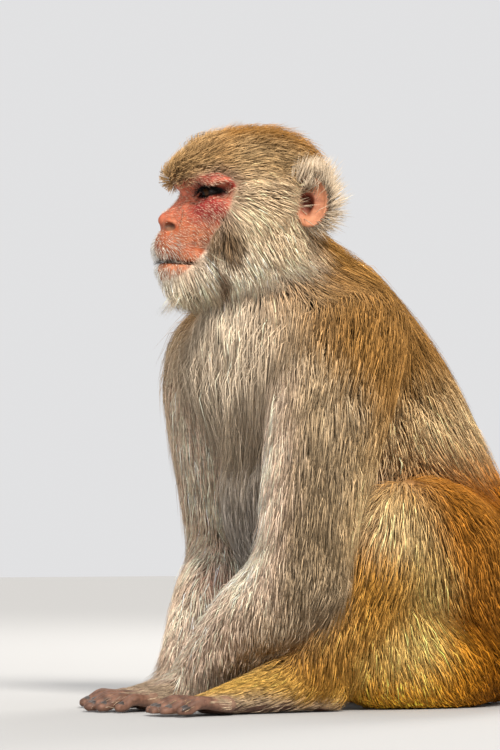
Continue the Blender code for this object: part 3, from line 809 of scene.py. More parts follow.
def survey(p, n):
    s = Site()
    p = p.astype(np.float32)
    count = len(p)
    names = [part.name for part in PARTS]
    W = np.zeros((count, len(PARTS)), np.float32)
    flow, depth, length = np.zeros((count, 3), np.float32), np.zeros(count, np.float32), np.zeros(count, np.float32)
    axial = np.zeros(count, np.float32)
    for i, part in enumerate(PARTS):
        m = part.shape.near(p)
        if not m.any():
            continue
        f, axis, coat, share = part.shape.field(p[m], True)
        w = np.exp(-np.clip(f, 0, 60) / (5.0 if part.name[:4] in ("hand", "foot") else 7.0))
        W[m, i] = w
        flow[m] += w[:, None] * unit(part.flow(p[m], axis, share, n[m]))
        depth[m] += w * coat
        length[m] += w * part.length
    q = into_head(p)
    a = q.copy()
    a[:, 0] = np.abs(a[:, 0])
    side = sign(q[:, 0])
    m = in_head_box(q, 10)
    hf = np.full(count, 40.0, np.float32)
    hf[m] = head_field(q[m])
    wh = np.exp(-np.clip(hf, 0, 60) / 5.0) * 1.6
    wh[~m] = 0
    x, y, z = a.T
    nh = n @ HEAD_TURN
    # ---- lie of the hair on the head, for |x|
    top = np.stack([0.10 + 0 * x, 1 + 0 * x, -0.1 - 0.012 * np.clip(y, -20, 60)], 1)
    brow = np.stack([0.45 * step(2, 20, x), 0.75 + 0 * x, 0.75 + 0 * x], 1)
    cheek = np.stack([0.15 + 0 * x, 0.36 + 0.30 * step(-16, -42, z), -0.88 + 0 * x], 1)
    beard = np.stack([0.18 + 0 * x, 0.34 - 0.16 * step(-35, -60, y), -1 + 0 * x], 1)
    face = np.stack([0.25 + 0 * x, 0.75 + 0 * x, -0.35 + 0 * x], 1)
    ear = a - EAR_AT
    ear = np.stack([3.0 + 0.3 * ear[:, 0], np.maximum(ear[:, 1], -6) + 11, 1.15 * ear[:, 2] + 5], 1)
    d = mix(top, brow, step(-30, -48, y) * step(8, 16, z))
    d = mix(d, cheek, step(4, -16, z) * step(-46, -30, y))
    d = mix(d, beard, step(-34, -52, z))
    edge = mask_edge(a)
    in_mask = step(-1.0, 2.5, edge) * (wh > 0.5)
    d = mix(d, face, in_mask * step(-44, -36, z))
    d = mix(d, np.stack([0.2 + 0 * x, 0.2 + 0 * x, -0.9 + 0 * x], 1), in_mask * step(-36, -44, z))
    ear_w = step(25, 15, np.sqrt(((a - EAR_AT) ** 2 * np.array([0.6, 1, 0.55], np.float32)).sum(1))) * step(25, 31, x) * step(16, 22, y)
    d = mix(unit(d), unit(ear), ear_w)
    d[:, 0] *= side
    d = unit(d) @ HEAD_TURN.T
    flow += wh[:, None] * d
    hd = 13.5 - 3.5 * step(20, 38, x) * step(5, 20, z) + 3.0 * step(-8, -30, z) * step(-20, 10, y)
    hd = hd - 4.5 * step(-38, -50, y) * step(0, 12, z)
    hd = hd + (11.5 - hd) * step(-40, -54, z) * step(-20, -45, y)
    hd = hd + (6.0 - hd) * ear_w
    lipward = step(-54, -64, y) * step(-26, -36, z)
    hd = hd + (1.2 + 3.0 * lipward - hd) * in_mask
    hl = 17 + 9 * step(8, -14, z) + 5 * step(-10, -34, z) * step(-25, 5, y) - 5 * step(-36, -50, y) * step(6, 14, z)
    hl = hl + (29 - hl) * step(-42, -54, z) * step(-15, -40, y)
    hl = hl + (23 - hl) * ear_w
    hl = hl + (3.4 + 4.0 * lipward - hl) * in_mask
    depth += wh * hd
    length += wh * hl
    total = np.maximum(W.sum(1) + wh, 1e-4)
    depth, length = depth / total, length / total
    W, wh = W / total[:, None], wh / total
    s.w = {name: W[:, [i for i, k in enumerate(names) if k == name]].sum(1) for name in dict.fromkeys(names)}
    s.head, s.q, s.a, s.in_mask, s.ear, s.edge = wh, q, a, in_mask, ear_w, edge
    s.flow, s.depth, s.length = flow, depth, length
    s.p, s.n, s.nh = p, n, nh
    limb = lambda kind: s.w[kind + "_left"] + s.w[kind + "_right"]
    s.thin = 0.9 * blob(p, (-68, -128, 94), (26, 26, 38)) * step(0.1, 0.5, n[:, 0]) * (limb("forearm") > 0.3)    # fair inner forearm
    s.hand, s.foot, s.forearm, s.upper_arm, s.shin, s.thigh = (limb(k) for k in ("hand", "foot", "forearm", "upper_arm", "shin", "thigh"))
    return s


def end_of(s, kind, side):
    """Position of each site in a hand's or foot's own frame."""
    end = next(part.shape for part in PARTS if part.name == f"{kind}_{'left' if side > 0 else 'right'}")
    return end.inner(s.p)


def coat_colour(s):
    """Colour of the hair at each site."""
    p, n, a = s.p, s.n, s.a
    x, y, z = p.T
    side = np.abs(x)
    back = step(-0.35, 0.45, n[:, 1] + 0.35 * n[:, 2])                     # faces backwards and up
    dorsal = mix(mix(col("rump")[None].repeat(len(p), 0), col("back_low"), step(60, 130, z)), col("back"), step(180, 236, z))
    dorsal = mix(dorsal, col("shoulder_top"), step(230, 290, z))
    # the belly's coat is darker than the chest's: partly its own greyer tone, partly painted shade between the arms and
    # the chest
    under = mix(col("belly")[None].repeat(len(p), 0), col("chest"), step(170, 240, z))
    flank = mix(col("thigh_edge")[None].repeat(len(p), 0), col("flank"), step(168, 226, z))
    trunk = mix(under, flank, step(-0.75, -0.15, n[:, 1]))
    trunk = mix(trunk, dorsal, back)
    c = trunk * (s.w["trunk"] + s.w["breast"] * 0.0)[:, None]
    w = s.w
    c += mix(under, mix(flank, dorsal, back), step(-0.55, 0.2, n[:, 1])) * w["breast"][:, None]
    c += under * w["belly"][:, None]
    neck = mix(col("shoulder_top")[None].repeat(len(p), 0) * 1.25, col("nape"), step(-0.1, 0.45, n[:, 1]))
    neck = mix(neck, col("chest"), step(-0.45, -0.85, n[:, 1]))
    c += neck * w["neck"][:, None]
    outer = step(-0.5, 0.4, n[:, 0] * np.sign(x) + 0.4 * n[:, 1] + 0.3 * n[:, 2])
    arm = mix(col("inner")[None].repeat(len(p), 0), col("upper_arm"), outer)
    arm = mix(arm, col("shoulder"), outer * step(190, 250, z) * 0.8)
    arm = mix(arm, mix(col("flank")[None].repeat(len(p), 0), col("shoulder_top"), step(190, 270, z)), step(-0.25, 0.5, n[:, 1] + n[:, 2] * 0.5) * step(100, 170, z))
    arm = mix(arm, col("shoulder_top"), step(252, 292, z) * step(-0.8, -0.35, n[:, 1]))
    c += arm * s.upper_arm[:, None]
    fore = mix(col("inner")[None].repeat(len(p), 0), col("forearm"), outer)
    fore = mix(fore, col("inner"), blob(p, (-70, -126, 92), (28, 28, 40)) * step(0.1, 0.6, n[:, 0]))
    c += fore * s.forearm[:, None]
    thigh = mix(col("thigh_low")[None].repeat(len(p), 0), col("thigh"), step(60, 115, z))
    thigh = mix(thigh, col("thigh_edge"), step(0.45, 0.95, n[:, 2]) * 0.2)
    thigh = mix(thigh, col("inner"), step(-0.1, -0.7, n[:, 0] * np.sign(x)) * step(-0.3, -0.1, n[:, 0] * np.sign(x) * -1 * 0) )
    behind = step(-56, -32, y + 0.42 * np.maximum(z - 110, 0)) * 0.95        # the side away from the knee
    thigh = mix(thigh, col("thigh_edge"), behind)
    c += thigh * s.thigh[:, None]
    shin = mix(col("shin")[None].repeat(len(p), 0), col("knee"), step(115, 150, z))
    shin = mix(shin, col("thigh_edge"), behind * step(100, 130, z))
    c += shin * s.shin[:, None]
    low = mix(col("thigh_low")[None].repeat(len(p), 0), col("thigh_edge"), step(-60, 0, y))
    low = mix(low, col("thigh"), step(20, 70, z) * step(-30, -60, y) * 0.7)
    c += low * (w["ham"] + w["calf"])[:, None]
    c += mix(low, col("rump"), step(20, 60, y)) * w["buttock"][:, None]
    c += col("hand") * s.hand[:, None]
    c += mix(col("hand")[None].repeat(len(p), 0), col("foot"), step(8, 22, z)) * s.foot[:, None]
    c += col("tail") * w["tail"][:, None]
    # ---- head
    hx, hy, hz = a.T
    h = mix(col("crown")[None].repeat(len(p), 0), col("forehead"), step(-18, -42, hy))
    h = mix(h, np.array((.62, .42, .21), np.float32), 0.8 * step(44, 28, hz) * step(16, 30, hx) * step(-40, -20, hy))
    h = mix(h, col("temple"), step(24, 5, hz) * step(24, 36, hx) * 0.9)
    h = mix(h, col("nape"), step(30, 52, hy) * step(25, 0, hz))
    h = mix(h, col("cheek"), step(6, -14, hz) * step(16, 28, hx))
    h = mix(h, col("jowl"), step(-22, -42, hz))
    h = mix(h, col("beard"), step(-46, -56, hz) * step(-30, -46, hy))
    h = mix(h, col("nape"), step(24, 44, hy) * step(34, 20, hx) * step(10, -10, hz))
    # painted shade: a dark brown band of hair in the fold behind the cheek
    h = mix(h, np.array((.17, .095, .042), np.float32), 0.95 * blob(a, (36.5, -25.5, -27), (14, 8.5, 20)))
    # painted shadow: dark hair in the gap between the hanging beard and the throat
    h = mix(h, np.array((.13, .068, .036), np.float32), 0.92 * spot(a, (24, -32, -60), (20, 5.5, 24)))
    h = mix(h, col("ear_hair"), s.ear)
    on_face = mix(np.array((.62, .40, .28), np.float32)[None].repeat(len(p), 0), np.array((.62, .55, .45), np.float32),
                  step(-56, -64, hy) * step(-22, -30, hz))
    on_face = mix(on_face, np.array((.05, .04, .035), np.float32), blob(a, (8, -68, -44.9), (22, 16, 3.8)))
    h = mix(h, on_face, s.in_mask)
    c += h * s.head[:, None]
    # painted shade: the coat on the far side of the chest and the front of the throat is darkened by up to 30 per cent
    c = c * (1 - 0.30 * step(0, -50, x) * step(-0.3, -0.8, n[:, 1]) * (w["trunk"] + w["breast"] + w["belly"] + w["neck"]))[:, None]
    c = c * (1 + 0.07 * waves(p, 60, 5) + 0.05 * waves(p, 22, 6))[:, None]
    return np.clip(c, 0.004, 1).astype(np.float32)


def skin_colour(s, coat):
    """Colour of the skin: dusky under the coat, red and pink on the bare face, brown on palms and soles, with painted
    shade in the nostrils, along the mouth, in the ear hollows and round the eyes.
    """
    a = s.a
    count = len(a)
    fair = step(0.26, 0.42, coat[:, 2] / np.maximum(coat[:, 0], 0.01))
    base = mix(coat * (0.70 + 0.16 * fair)[:, None], col("under", BARE)[None].repeat(count, 0), np.full(count, 0.12, np.float32))
    base = mix(base, np.array((.80, .50, .38), np.float32), s.thin)
    face = mix(col("muzzle", BARE)[None].repeat(count, 0), col("face", BARE), step(-22, -2, a[:, 2]))
    face = mix(face, col("nose", BARE), blob(a, (3, -66, -16), (9, 9, 9)))
    # red skin below the eye, deepened so that it also stands as painted shade of the fold under the eye
    face = mix(face, col("red", BARE), 0.97 * blob(a, (30, -39, -9.0), (27, 23, 17)))
    face = mix(face, col("red", BARE), 0.6 * blob(a, (31, -38, 18), (22, 22, 10)))
    face = mix(face, col("red", BARE), 0.8 * blob(a, (38, -21, 9), (8, 9, 9)))
    face = mix(face, col("lip", BARE), step(-49, -52, a[:, 2]) * step(-30, -48, a[:, 1]))
    e = a - EYE_AT
    er = np.sqrt((e * e).sum(1))
    face = mix(face, col("lid", BARE), step(EYE_R + 4.0, EYE_R + 2.6, er) * 0.7)
    em = e @ LOOK
    slit = lid_gap(em)
    face = mix(face, col("rim", BARE), step(2.2, 0.8, slit) * (er < EYE_R + 4.0))
    face = mix(face, col("rim", BARE), (er < EYE_R + 0.9) * 1.0)
    # dark skin at the outer corner of the eye: partly the lid's own dark skin, partly painted shade of the lashes
    face = mix(face, np.array((.05, .018, .012), np.float32), 0.85 * blob(a, (30.0, -27.0, 4.6), (6.5, 7.5, 5.0)))
    # painted shade: a near-black line along the crease between the lips
    face = mix(face, col("mouth", BARE), step(1.9, 0.7, np.abs(a[:, 2] + np.interp(-a[:, 1], [45, 57, 68, 74], [50.4, 49.2, 47.9, 47.4]))) * step(-40, -46, a[:, 1]))
    # painted shade: the inside of the nostril made near black
    face = mix(face, np.array((.030, .008, .006), np.float32), spot(a, (11.8, -65.6, -21.5), (6.2, 5.4, 3.5)))
    patchy = np.clip(0.5 + 0.5 * waves(s.p, 6.5, 15), 0, 1) * step(-8, -24, a[:, 2])
    face = mix(face, np.array((.52, .25, .13), np.float32), 0.35 * patchy)
    face = face * (1 + 0.10 * waves(s.p, 9, 11) + 0.10 * waves(s.p, 3.5, 12))[:, None]
    c = mix(base, face, s.in_mask * step(0.25, 0.6, s.head))
    ear_rel = (a - EAR_AT) @ EAR_TURN
    ear = mix(col("ear", BARE)[None].repeat(count, 0), col("red", BARE), 0.5 * blob(ear_rel, (3, -4, 1.0), (14, 11, 15)))
    # painted shade: the hollow of the ear darkened
    ear = mix(ear, col("ear_hollow_shade", BARE), blob(ear_rel, (1, -0.5, 0.5), (13, 12, 12.5)))
    c = mix(c, ear, s.ear * np.maximum(step(-2, 2.5, ear_rel[:, 0]), blob(ear_rel, (-3, -4, -1), (13, 13, 15))))
    c = mix(c, col("hand", BARE) * 1.25, 0.75 * step(0.3, 0.8, s.hand + s.foot))
    bare_end = np.zeros(count, np.float32)
    for kind, total in (("hand", s.hand), ("foot", s.foot)):
        for sd in (1, -1):
            end = end_of(s, kind, sd)
            near = np.all(np.abs(end) < 400, axis=1)
            toes = step(-40, -58, end[:, 1]) if kind == "hand" else step(-94, -114, end[:, 1])
            w = s.w[f"{kind}_{'left' if sd > 0 else 'right'}"]
            bare_end = np.maximum(bare_end, np.maximum(toes, step(-0.2, -0.6, s.n[:, 2])) * step(0.2, 0.55, w))
    skin = col("hand", BARE)[None].repeat(count, 0) * (1 + 0.22 * waves(s.p, 7, 13) + 0.15 * waves(s.p, 2.6, 14))[:, None]
    c = mix(c, skin, bare_end)
    s.bare = np.maximum(bare_end, s.in_mask * step(0.25, 0.6, s.head))
    s.bare_end = bare_end
    return np.clip(c, 0.002, 1).astype(np.float32)


# ------------------------------------------------------------------ reading the distance off a grid
class Reader:
    """The skin's distance and direction, read quickly from a grid."""

    def __init__(self, field, lo, hi, h, into=None, turn=None):
        self.lo, self.h, self.into, self.turn = np.array(lo, np.float32), h, into, turn
        n = np.ceil((np.array(hi) - lo) / h).astype(int) + 1
        axes = [lo[i] + np.arange(n[i]) * h for i in range(3)]
        self.F = field(np.stack(np.meshgrid(*axes, indexing="ij"), -1).reshape(-1, 3).astype(np.float32)).reshape(n)
        self.G = np.stack(np.gradient(self.F, h), -1)

    def read(self, p):
        q = self.into(p) if self.into else p
        u = (q - self.lo) / self.h
        u = np.clip(u, 0, np.array(self.F.shape) - 1.001)
        i = u.astype(int)
        t = (u - i).astype(np.float32)
        f, g = np.zeros(len(p), np.float32), np.zeros((len(p), 3), np.float32)
        for dx in (0, 1):
            for dy in (0, 1):
                for dz in (0, 1):
                    w = ((t[:, 0] if dx else 1 - t[:, 0]) * (t[:, 1] if dy else 1 - t[:, 1]) * (t[:, 2] if dz else 1 - t[:, 2]))
                    k = (i[:, 0] + dx, i[:, 1] + dy, i[:, 2] + dz)
                    f += w * self.F[k]
                    g += w[:, None] * self.G[k]
        if self.turn is not None:
            g = g @ self.turn.T
        return f, unit(g)


def flat(v, n):
    """v laid into the surface with normal n."""
    return unit(v - n * (v * n).sum(1, keepdims=True))


# ------------------------------------------------------------------ the coat
REGION_NAMES = ["face", "crown", "cheeks", "chest", "back_left", "back_right", "arm_left", "arm_right", "leg_left", "leg_right"]


def region_of(s):
    """Which coat piece each site belongs to."""
    p, w = s.p, s.w
    left = p[:, 0] > 0
    r = np.where(left, 4, 5)
    body = w["trunk"] + w["breast"] + w["belly"] + w["neck"]
    front = (s.n[:, 1] < -0.25) & (p[:, 2] > 90)
    r = np.where(front, 3, r)
    arm = (s.upper_arm + s.forearm + s.hand) > 0.5
    r = np.where(arm, np.where(left, 6, 7), r)
    leg = (s.thigh + s.shin + s.foot + w["ham"] + w["calf"] + w["buttock"]) > 0.5
    r = np.where(leg & ~arm, np.where(left, 8, 9), r)
    r = np.where(s.head > 0.5, 1, r)
    r = np.where((s.head > 0.5) & ((s.a[:, 2] < 2 - 0.1 * s.a[:, 1]) | (s.ear > 0.3)), 2, r)
    r = np.where((s.head > 0.5) & (s.in_mask > 0.4), 0, r)
    return r.astype(np.int32)


def plant(me, s, want, rng):
    """Roots spread over the skin by the wanted number per square millimetre at each of its points."""
    me.calc_loop_triangles()
    tri = np.empty(len(me.loop_triangles) * 3, np.int32)
    me.loop_triangles.foreach_get("vertices", tri)
    tri = tri.reshape(-1, 3)
    P = s.p
    area = np.linalg.norm(np.cross(P[tri[:, 1]] - P[tri[:, 0]], P[tri[:, 2]] - P[tri[:, 0]]), axis=1) / 2
    mass = np.cumsum(area * want[tri].mean(1))
    count = int(mass[-1])
    at = (np.arange(count) + rng.random(count)) * (mass[-1] / count)
    t = tri[np.minimum(np.searchsorted(mass, at), len(tri) - 1)]
    b = rng.random((count, 2))
    b = np.where((b.sum(1) > 1)[:, None], 1 - b, b)
    B = np.stack([1 - b[:, 0] - b[:, 1], b[:, 0], b[:, 1]], 1).astype(np.float32)
    return t, B


def blend3(values, t, B):
    v = values[t]
    return (v * (B[:, :, None] if v.ndim == 3 else B)).sum(1)


def lay(root, n0, d, length, depth, lift, bend, readers, free):
    """Centre lines of tufts: from the root along the coat, rising to the wanted height above the skin."""
    steps, rise = (0.45, 1.0), (0.88, 1.0)
    pts, nrm = [root - n0 * 0.8], [n0]
    p, n, last = root, n0, 0.0
    for t, up in zip(steps, rise):
        d = unit(flat(d, n) * (1 - free)[:, None] + (d + n * 0.12) * free[:, None])
        p = p + d * (length * (t - last))[:, None]
        f, g = readers(p)
        target = depth * lift * up
        move = np.clip(target - f, -14, 14) * np.where(f < target, 1.0, 1 - free)
        p = p + g * move[:, None]
        n = unit(n * 0.35 + g * 0.65)
        d = unit(d + bend * 0.35)
        pts.append(p)
        nrm.append(n)
        last = t
    return pts, nrm


def tuft_mesh(name, pts, nrm, width, thick, colours, uv, material):
    """Solid tufts: a three-sided blade from each centre line, closed at the root and pointed at the tip."""
    N, K = len(width), len(pts)
    P = np.stack(pts, 1)
    T = np.empty_like(P)
    T[:, 0] = P[:, 1] - P[:, 0]
    T[:, -1] = P[:, -1] - P[:, -2]
    for k in range(1, K - 1):
        T[:, k] = P[:, k + 1] - P[:, k - 1]
    T = unit(T)
    Nn = np.stack(nrm, 1)
    S = unit(np.cross(T, Nn))
    U = unit(np.cross(S, T))
    rings = K - 1
    taper = np.interp(np.linspace(0, 1, K)[:-1], [0, 0.45, 0.8], [0.70, 1.0, 0.72])
    V = np.empty((N, rings * 3 + 1, 3), np.float32)
    for k in range(rings):
        w = (width * taper[k] * 0.5)[:, None]
        h = (thick * taper[k])[:, None]
        V[:, 3 * k] = P[:, k] - S[:, k] * w
        V[:, 3 * k + 1] = P[:, k] + U[:, k] * h
        V[:, 3 * k + 2] = P[:, k] + S[:, k] * w
    V[:, -1] = P[:, -1]
    F = [(0, 2, 1)]
    for k in range(rings - 1):
        for a, b in ((0, 1), (1, 2), (2, 0)):
            F += [(3 * k + a, 3 * k + b, 3 * k + 3 + b), (3 * k + a, 3 * k + 3 + b, 3 * k + 3 + a)]
    e = 3 * (rings - 1)
    for a, b in ((0, 1), (1, 2), (2, 0)):
        F.append((e + a, e + b, 3 * rings))
    F = np.array(F, np.int64)
    faces = (F[None] + (np.arange(N) * (3 * rings + 1))[:, None, None]).reshape(-1, 3)
    me = make_mesh(name, to_world(V.reshape(-1, 3)), faces)
    me.shade_smooth()
    ts = np.repeat(np.linspace(0, 1, K)[:-1], 3).tolist() + [1.0]
    ts = np.array(ts, np.float32)
    C = np.empty((N, 3 * rings + 1, 4), np.float32)
    C[..., :3] = colours[:, None, :]
    C[..., 3] = ts[None]
    at = me.color_attributes.new("marking", "FLOAT_COLOR", "POINT")
    at.data.foreach_set("color", C.ravel())
    layer = me.uv_layers.new(name="OFBake")
    across = np.tile(np.array([-0.0010, 0, 0.0010], np.float32), rings).tolist() + [0.0]
    local = np.stack([np.array(across, np.float32), (ts - 0.5) * 0.0028], 1)
    UV = uv[:, None, :] + local[None]
    loops = UV.reshape(-1, 2)[faces.ravel()]
    layer.data.foreach_set("uv", loops.astype(np.float32).ravel())
    o = new_object(name, me)
    me.materials.append(material)
    return o


class Unwrap:
    """An unwrap of the skin's own shape under one coat piece, to give each root its place on the bake map."""

    def __init__(self, verts, tris):
        used, back = np.unique(tris, return_inverse=True)
        me = make_mesh("proxy", verts[used], back.reshape(-1, 3))
        o = new_object("proxy", me)
        bpy.ops.object.select_all(action="DESELECT")
        o.select_set(True)
        bpy.context.view_layer.objects.active = o
        bpy.ops.object.mode_set(mode="EDIT")
        bpy.ops.mesh.select_all(action="SELECT")
        bpy.ops.uv.smart_project(angle_limit=math.radians(66), island_margin=0.008)
        bpy.ops.object.mode_set(mode="OBJECT")
        uv = array_of(me.uv_layers.active.data, "uv", 2).reshape(-1, 3, 2)
        self.uv = uv * 0.992 + 0.004
        self.P = verts[used][back.reshape(-1, 3)]
        self.tree = BVHTree.FromPolygons([Vector(v) for v in verts[used]], back.reshape(-1, 3).tolist())
        bpy.data.objects.remove(o)
        bpy.data.meshes.remove(me)

    def place(self, points):
        find = self.tree.find_nearest
        idx = np.array([find(Vector(p))[2] for p in points.tolist()])
        A, B, C = self.P[idx, 0], self.P[idx, 1], self.P[idx, 2]
        v0, v1, v2 = B - A, C - A, points - A
        d00, d01, d11 = (v0 * v0).sum(1), (v0 * v1).sum(1), (v1 * v1).sum(1)
        d20, d21 = (v2 * v0).sum(1), (v2 * v1).sum(1)
        den = np.maximum(d00 * d11 - d01 * d01, 1e-18)
        v = np.clip((d11 * d20 - d01 * d21) / den, 0, 1)
        w = np.clip((d00 * d21 - d01 * d20) / den, 0, 1)
        over = np.maximum(v + w, 1)
        v, w = v / over, w / over
        return self.uv[idx, 0] * (1 - v - w)[:, None] + self.uv[idx, 1] * v[:, None] + self.uv[idx, 2] * w[:, None]


# ------------------------------------------------------------------ materials
def nodes_of(name):
    m = bpy.data.materials.new(name)
    m.use_nodes = True
    nt = m.node_tree
    bsdf = nt.nodes["Principled BSDF"]
    return m, nt, bsdf


def link(nt, a, b):
    nt.links.new(a, b)


def noise(nt, scale, detail=2.0, rough=0.55, coords=None):
    t = nt.nodes.new("ShaderNodeTexNoise")
    t.inputs["Scale"].default_value = scale
    t.inputs["Detail"].default_value = detail
    t.inputs["Roughness"].default_value = rough
    if coords is not None:
        link(nt, coords, t.inputs["Vector"])
    return t


def ramp(nt, source, stops, interpolation="LINEAR"):
    r = nt.nodes.new("ShaderNodeValToRGB")
    r.color_ramp.interpolation = interpolation
    els = r.color_ramp.elements
    while len(els) > 1:
        els.remove(els[-1])
    els[0].position, els[0].color = stops[0][0], tuple(stops[0][1]) + (1,)
    for pos, c in stops[1:]:
        e = els.new(pos)
        e.color = tuple(c) + (1,)
    link(nt, source, r.inputs["Fac"])
    return r


def times(nt, a, b, kind="MULTIPLY", amount=1.0):
    m = nt.nodes.new("ShaderNodeMix")
    m.data_type, m.blend_type = "RGBA", kind
    m.inputs[0].default_value = amount
    link(nt, a, m.inputs[6])
    link(nt, b, m.inputs[7])
    return m.outputs[2]


def object_coords(nt):
    return nt.nodes.new("ShaderNodeTexCoord").outputs["Object"]


def coat_material(name, root, banding):
    """Hair: the marking colour, darker at the root, with fine bands of lighter and darker hair."""
    m, nt, bsdf = nodes_of(name)
    mark = nt.nodes.new("ShaderNodeAttribute")
    mark.attribute_name = "marking"
    along = ramp(nt, mark.outputs["Alpha"], [(0.0, (root,) * 3), (0.35, (0.62 + 0.38 * root,) * 3), (0.8, (1, 1, 1)), (1.0, (1.08,) * 3)])
    coords = object_coords(nt)
    bands = ramp(nt, noise(nt, 260, 2.0, 0.6, coords).outputs["Fac"],
                 [(0.36, (1 - banding,) * 3), (0.5, (1, 1, 1)), (0.64, (1 + banding * 0.6,) * 3)])
    link(nt, times(nt, times(nt, mark.outputs["Color"], along.outputs[0]), bands.outputs[0]), bsdf.inputs["Base Color"])
    bsdf.inputs["Roughness"].default_value = 0.75
    bsdf.inputs["Specular IOR Level"].default_value = 0.04
    return m


def skin_material():
    m, nt, bsdf = nodes_of("skin")
    mark = nt.nodes.new("ShaderNodeAttribute")
    mark.attribute_name = "marking"
    coords = object_coords(nt)
    mottle = ramp(nt, noise(nt, 190, 4.0, 0.65, coords).outputs["Fac"], [(0.33, (0.74, 0.68, 0.68)), (0.5, (1, 1, 1)), (0.7, (1.16, 1.10, 1.04))])
    link(nt, times(nt, mark.outputs["Color"], mottle.outputs[0]), bsdf.inputs["Base Color"])
    bsdf.inputs["Roughness"].default_value = 0.55
    bsdf.inputs["Specular IOR Level"].default_value = 0.26
    cells = nt.nodes.new("ShaderNodeTexVoronoi")
    cells.feature = "DISTANCE_TO_EDGE"
    cells.inputs["Scale"].default_value = 620
    link(nt, coords, cells.inputs["Vector"])
    fine = noise(nt, 420, 3.0, 0.6, coords)
    total = nt.nodes.new("ShaderNodeMath")
    total.operation = "ADD"
    link(nt, cells.outputs["Distance"], total.inputs[0])
    link(nt, fine.outputs["Fac"], total.inputs[1])
    bump = nt.nodes.new("ShaderNodeBump")
    bump.inputs["Strength"].default_value = 0.35
    bump.inputs["Distance"].default_value = 0.0006
    link(nt, total.outputs[0], bump.inputs["Height"])
    link(nt, bump.outputs[0], bsdf.inputs["Normal"])
    return m


def nail_material():
    m, nt, bsdf = nodes_of("nail")
    coords = object_coords(nt)
    tone = ramp(nt, noise(nt, 150, 2.0, 0.5, coords).outputs["Fac"], [(0.35, (0.030, 0.022, 0.019)), (0.65, (0.085, 0.066, 0.056))])
    link(nt, tone.outputs[0], bsdf.inputs["Base Color"])
    bsdf.inputs["Roughness"].default_value = 0.34
    return m


def pad_material():
    m, nt, bsdf = nodes_of("sitting_pad")
    coords = object_coords(nt)
    tone = ramp(nt, noise(nt, 120, 3.0, 0.6, coords).outputs["Fac"], [(0.3, (0.30, 0.13, 0.10)), (0.7, (0.46, 0.24, 0.18))])
    link(nt, tone.outputs[0], bsdf.inputs["Base Color"])
    bsdf.inputs["Roughness"].default_value = 0.6
    bump = nt.nodes.new("ShaderNodeBump")
    bump.inputs["Strength"].default_value = 0.5
    bump.inputs["Distance"].default_value = 0.0006
    link(nt, noise(nt, 500, 3.0, 0.6, coords).outputs["Fac"], bump.inputs["Height"])
    link(nt, bump.outputs[0], bsdf.inputs["Normal"])
    return m


def eye_material():
    """Eyeball in its own frame, looking along -y: pupil, amber iris with spokes, dark rim and brown white."""
    m, nt, bsdf = nodes_of("eye")
    coords = object_coords(nt)
    sep = nt.nodes.new("ShaderNodeSeparateXYZ")
    link(nt, coords, sep.inputs[0])

    def math_node(op, a, b=None):
        n = nt.nodes.new("ShaderNodeMath")
        n.operation = op
        for i, v in enumerate((a, b)):
            if v is None:
                continue
            if isinstance(v, float):
                n.inputs[i].default_value = v
            else:
                link(nt, v, n.inputs[i])
        return n.outputs[0]
    x2 = math_node("MULTIPLY", sep.outputs[0], sep.outputs[0])
    z2 = math_node("MULTIPLY", sep.outputs[2], sep.outputs[2])
    r = math_node("SQRT", math_node("ADD", x2, z2))
    r = math_node("MULTIPLY", r, 1000.0)
    spokes = noise(nt, 900, 2.0, 0.6, coords)
    ring = ramp(nt, math_node("MULTIPLY", r, 0.1), [(0.0, (0.003,) * 3), (0.22, (0.003,) * 3), (0.25, (0.045, 0.017, 0.005)),
                                                     (0.42, (0.078, 0.029, 0.008)), (0.55, (0.030, 0.011, 0.004)), (0.60, (0.008, 0.004, 0.003)),
                                                     (0.70, (0.024, 0.012, 0.008)), (1.0, (0.018, 0.009, 0.006))])
    vary = ramp(nt, spokes.outputs["Fac"], [(0.3, (0.75,) * 3), (0.7, (1.2,) * 3)])
    link(nt, times(nt, ring.outputs[0], vary.outputs[0]), bsdf.inputs["Base Color"])
    bsdf.inputs["Roughness"].default_value = 0.10
    bsdf.inputs["Specular IOR Level"].default_value = 0.14
    bsdf.inputs["Coat Weight"].default_value = 0.04
    bsdf.inputs["Coat Roughness"].default_value = 0.03
    return m


# ------------------------------------------------------------------ eyes, nails and sitting pads
def make_eye(s, material):
    """Eyeball with a bulging cornea, turned a little outwards and down."""
    bm = bmesh.new()
    bmesh.ops.create_uvsphere(bm, u_segments=40, v_segments=24, radius=EYE_R)
    bmesh.ops.rotate(bm, verts=bm.verts, matrix=Matrix.Rotation(math.radians(90), 3, "X"))
    for v in bm.verts:
        if v.co.y < 0:
            r = math.hypot(v.co.x, v.co.z)
            v.co.y -= 0.9 * max(0.0, 1 - (r / 5.6) ** 2)
        v.co *= MM
    me = bpy.data.meshes.new("eye")
    bm.to_mesh(me)
    bm.free()
    me.shade_smooth()
    o = new_object("eyeball_left" if s > 0 else "eyeball_right", me)
    gaze = Matrix.Rotation(math.radians(14), 4, "X") @ Matrix.Identity(4)
    turn = Matrix.Rotation(HEAD_YAW + math.radians(12 * s), 4, "Z") @ gaze
    at = to_world(out_of_head(EYE_AT * np.array([s, 1, 1])))
    o.matrix_world = Matrix.Translation(Vector(at)) @ turn
    me.materials.append(material)
    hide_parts("eye_left" if s > 0 else "eye_right")
    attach(o, "root")
    return o


